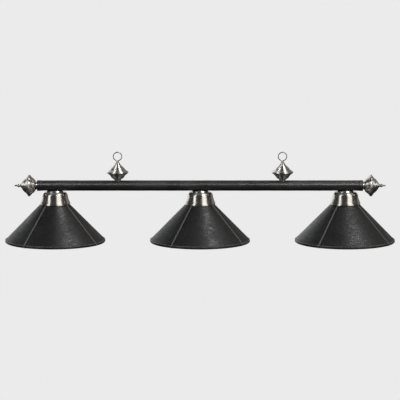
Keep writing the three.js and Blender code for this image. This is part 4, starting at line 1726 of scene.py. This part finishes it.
@dataclass
class Studio:
    """The pale floor, the soft light and the camera."""

    pale: float = 0.83
    ambient: Colour = (0.05, 0.047, 0.043)
    drop: float = 1.4
    reach: float = 400.0
    lens: float = 200.0
    distance: float = 8.67
    elevation: float = 8.0
    aim_below_bar: float = 0.057
    panels: tuple[Panel, ...] = (
        Panel((-3.4, 0.3, 0.52), 2.8, 0.75, 14.0, ("end_finial_cone_left", "end_finial_tip_left")),
        Panel((3.4, 0.3, 0.52), 2.8, 0.75, 14.0, ("end_finial_cone_right", "end_finial_tip_right")),
        Panel((2.6, -0.4, 1.0), 2.2, 0.8, 5.0, ("end_finial_cup_left",)),
        Panel((-2.6, -0.4, 1.0), 2.2, 0.8, 5.0, ("end_finial_cup_right",)),
        Panel((-1.3, -2.3, 1.75), 1.5, 0.8, 50.0, ("bar_sleeve", "end_finial_cup", "end_plug")),
        Panel((1.3, -2.3, 1.75), 1.5, 0.8, 50.0, ("bar_sleeve", "end_finial_cup", "end_plug")),
        Panel((-1.39, -0.15, 2.65), 0.5, 0.9, 12.0, ("hanger_finial_cone",)),
        Panel((4.4, -0.6, 11.2), 2.6, 2.9, 360.0, ()),
    )
    boxes: tuple[SoftBox, ...] = (
        SoftBox(0.0, -90.0, 360.0, 130.0, 10.0, (0.03, 0.028, 0.026)),
        SoftBox(0.0, 90.0, 360.0, 60.0, 12.0, (0.12, 0.12, 0.12)),
        SoftBox(-48.5, 22.0, 18.0, 76.0, 1.8, (1.8, 1.8, 1.8)),
        SoftBox(40.0, 22.0, 40.0, 76.0, 2.5, (1.55, 1.5, 1.43)),
        SoftBox(-48.5, -44.0, 19.0, 46.0, 5.0, (0.4, 0.39, 0.37)),
        SoftBox(39.0, -44.0, 42.0, 46.0, 6.0, (0.2, 0.19, 0.18)),
        SoftBox(104.0, 57.0, 34.0, 18.0, 6.0, (0.8, 0.8, 0.8)),
        SoftBox(-124.0, 2.0, 28.0, 18.0, 4.0, (1.3, 1.3, 1.3)),
        SoftBox(-157.0, 25.0, 46.0, 75.0, 12.0, (1.15, 1.17, 1.19)),
        SoftBox(146.0, 28.0, 74.0, 64.0, 12.0, (0.27, 0.26, 0.25)),
    )

    def stage_material(self) -> bpy.types.Material:
        """The floor's finish, even and pale from above and clear from below."""
        made = bpy.data.materials.new("pale floor")
        made.use_nodes = True
        made.node_tree.nodes.clear()
        bench = Bench(made.node_tree)
        glow = bench.node("Emission", {"Color": (self.pale, self.pale, self.pale, 1.0)})
        below = bench.node("NewGeometry").outputs["Backfacing"]
        clear = bench.node("BsdfTransparent")
        one_sided = bench.node("MixShader", {0: below, 1: glow.outputs[0], 2: clear.outputs[0]})
        output = bench.node("OutputMaterial")
        made.node_tree.links.new(one_sided.outputs[0], output.inputs["Surface"])
        return made

    def floor(self) -> None:
        """Lays a large pale floor well below the lamp."""
        low, _ = CAD_BOX
        size = self.reach
        height = low.z - self.drop
        corners = np.array([(-size, -size, height), (size, -size, height), (size, size, height),
                            (-size, size, height)])
        mesh = mesh_from("floor", corners, [(0, 1, 2, 3)])
        plane = bpy.data.objects.new("floor", mesh)
        bpy.context.scene.collection.objects.link(plane)
        mesh.materials.append(self.stage_material())
        plane.visible_diffuse = False
        plane.visible_glossy = False
        plane.visible_shadow = False

    def light(self) -> None:
        """Surrounds the lamp with soft boxes on a dim surround."""
        world = bpy.data.worlds.new("soft studio")
        bpy.context.scene.world = world
        world.use_nodes = True
        world.node_tree.nodes.clear()
        bench = Bench(world.node_tree)
        where = bench.node("SeparateXYZ", {0: bench.node("TexCoord").outputs["Generated"]})
        degrees = 180 / math.pi
        front = bench.math("MULTIPLY", where.outputs["Y"], -1.0)
        azimuth = bench.math("MULTIPLY", bench.math("ARCTAN2", where.outputs["X"], front), degrees)
        elevation = bench.math("MULTIPLY", bench.math("ARCSINE", where.outputs["Z"]), degrees)
        tone: bpy.types.NodeSocket | tuple = (*self.ambient, 1.0)
        for box in self.boxes:
            aside = bench.math("WRAP", bench.math("SUBTRACT", azimuth, box.azimuth), 180.0, -180.0)
            above = bench.math("SUBTRACT", elevation, box.elevation)
            half_width, half_height = box.width / 2, box.height / 2
            wide = bench.remap(bench.math("ABSOLUTE", aside), half_width - box.edge,
                               half_width + box.edge, 1.0, 0.0)
            tall = bench.remap(bench.math("ABSOLUTE", above), half_height - box.edge,
                               half_height + box.edge, 1.0, 0.0)
            tone = bench.blend(bench.math("MULTIPLY", wide, tall), tone, (*box.colour, 1.0))
        seen = bench.node("LightPath").outputs["Is Camera Ray"]
        tone = bench.blend(seen, tone, (self.pale, self.pale, self.pale, 1.0))
        background = bench.node("Background", {"Color": tone})
        output = bench.node("OutputWorld")
        world.node_tree.links.new(background.outputs[0], output.inputs["Surface"])

    def camera(self) -> None:
        """Sets the camera a little above the lamp, far back with a long lens."""
        data = bpy.data.cameras.new("camera")
        data.lens = self.lens
        data.sensor_width = 36.0
        data.clip_end = 2000.0
        camera = bpy.data.objects.new("camera", data)
        bpy.context.scene.collection.objects.link(camera)
        bar = middle_of("bar_leather")
        target = Vector((bar.x, bar.y, bar.z - self.aim_below_bar))
        rise = math.radians(self.elevation)
        back = Vector((0.0, -math.cos(rise), math.sin(rise)))
        camera.location = target + back * self.distance
        camera.rotation_mode = "QUATERNION"
        camera.rotation_quaternion = (-back).to_track_quat("-Z", "Y")
        bpy.context.scene.camera = camera

    def hang(self, name: str, panel: Panel) -> None:
        """Hangs a light panel that faces the middle of the bar.

        Args:
            name: The light's name.
            panel: The panel.
        """
        data = bpy.data.lights.new(name, "AREA")
        data.shape = "RECTANGLE"
        data.size, data.size_y = panel.width, panel.height
        data.energy = panel.power
        light = bpy.data.objects.new(name, data)
        bpy.context.scene.collection.objects.link(light)
        light.location = middle_of("bar_leather") + Vector(panel.place)
        light.rotation_mode = "QUATERNION"
        light.rotation_quaternion = Vector(panel.place).to_track_quat("Z", "Y")
        if not panel.lit:
            return
        lit = bpy.data.collections.new(f"{name} lights")
        for piece in bpy.context.scene.objects:
            if piece.name.startswith(panel.lit):
                lit.objects.link(piece)
        light.light_linking.receiver_collection = lit

    def hang_panels(self) -> None:
        """Hangs every panel. The pieces are there by then."""
        for number, panel in enumerate(self.panels):
            self.hang(f"panel {number}", panel)

    def build(self) -> None:
        """Builds the studio."""
        self.camera()
        self.floor()
        self.light()
        bpy.context.scene.view_settings.view_transform = "Standard"


def main() -> None:
    """Builds the lamp and its studio."""
    logging.basicConfig(level=logging.INFO, format="%(message)s")
    studio = Studio()
    studio.build()
    Bar().build()
    for side, turn in ENDS:
        EndFinial(side=side, turn=turn).build()
        Hanger(side=side, turn=turn).build()
    for seed, side in enumerate(SIDES):
        ShadeUnit(side, seed).build()
    studio.hang_panels()


if __name__ == "__main__":
    main()
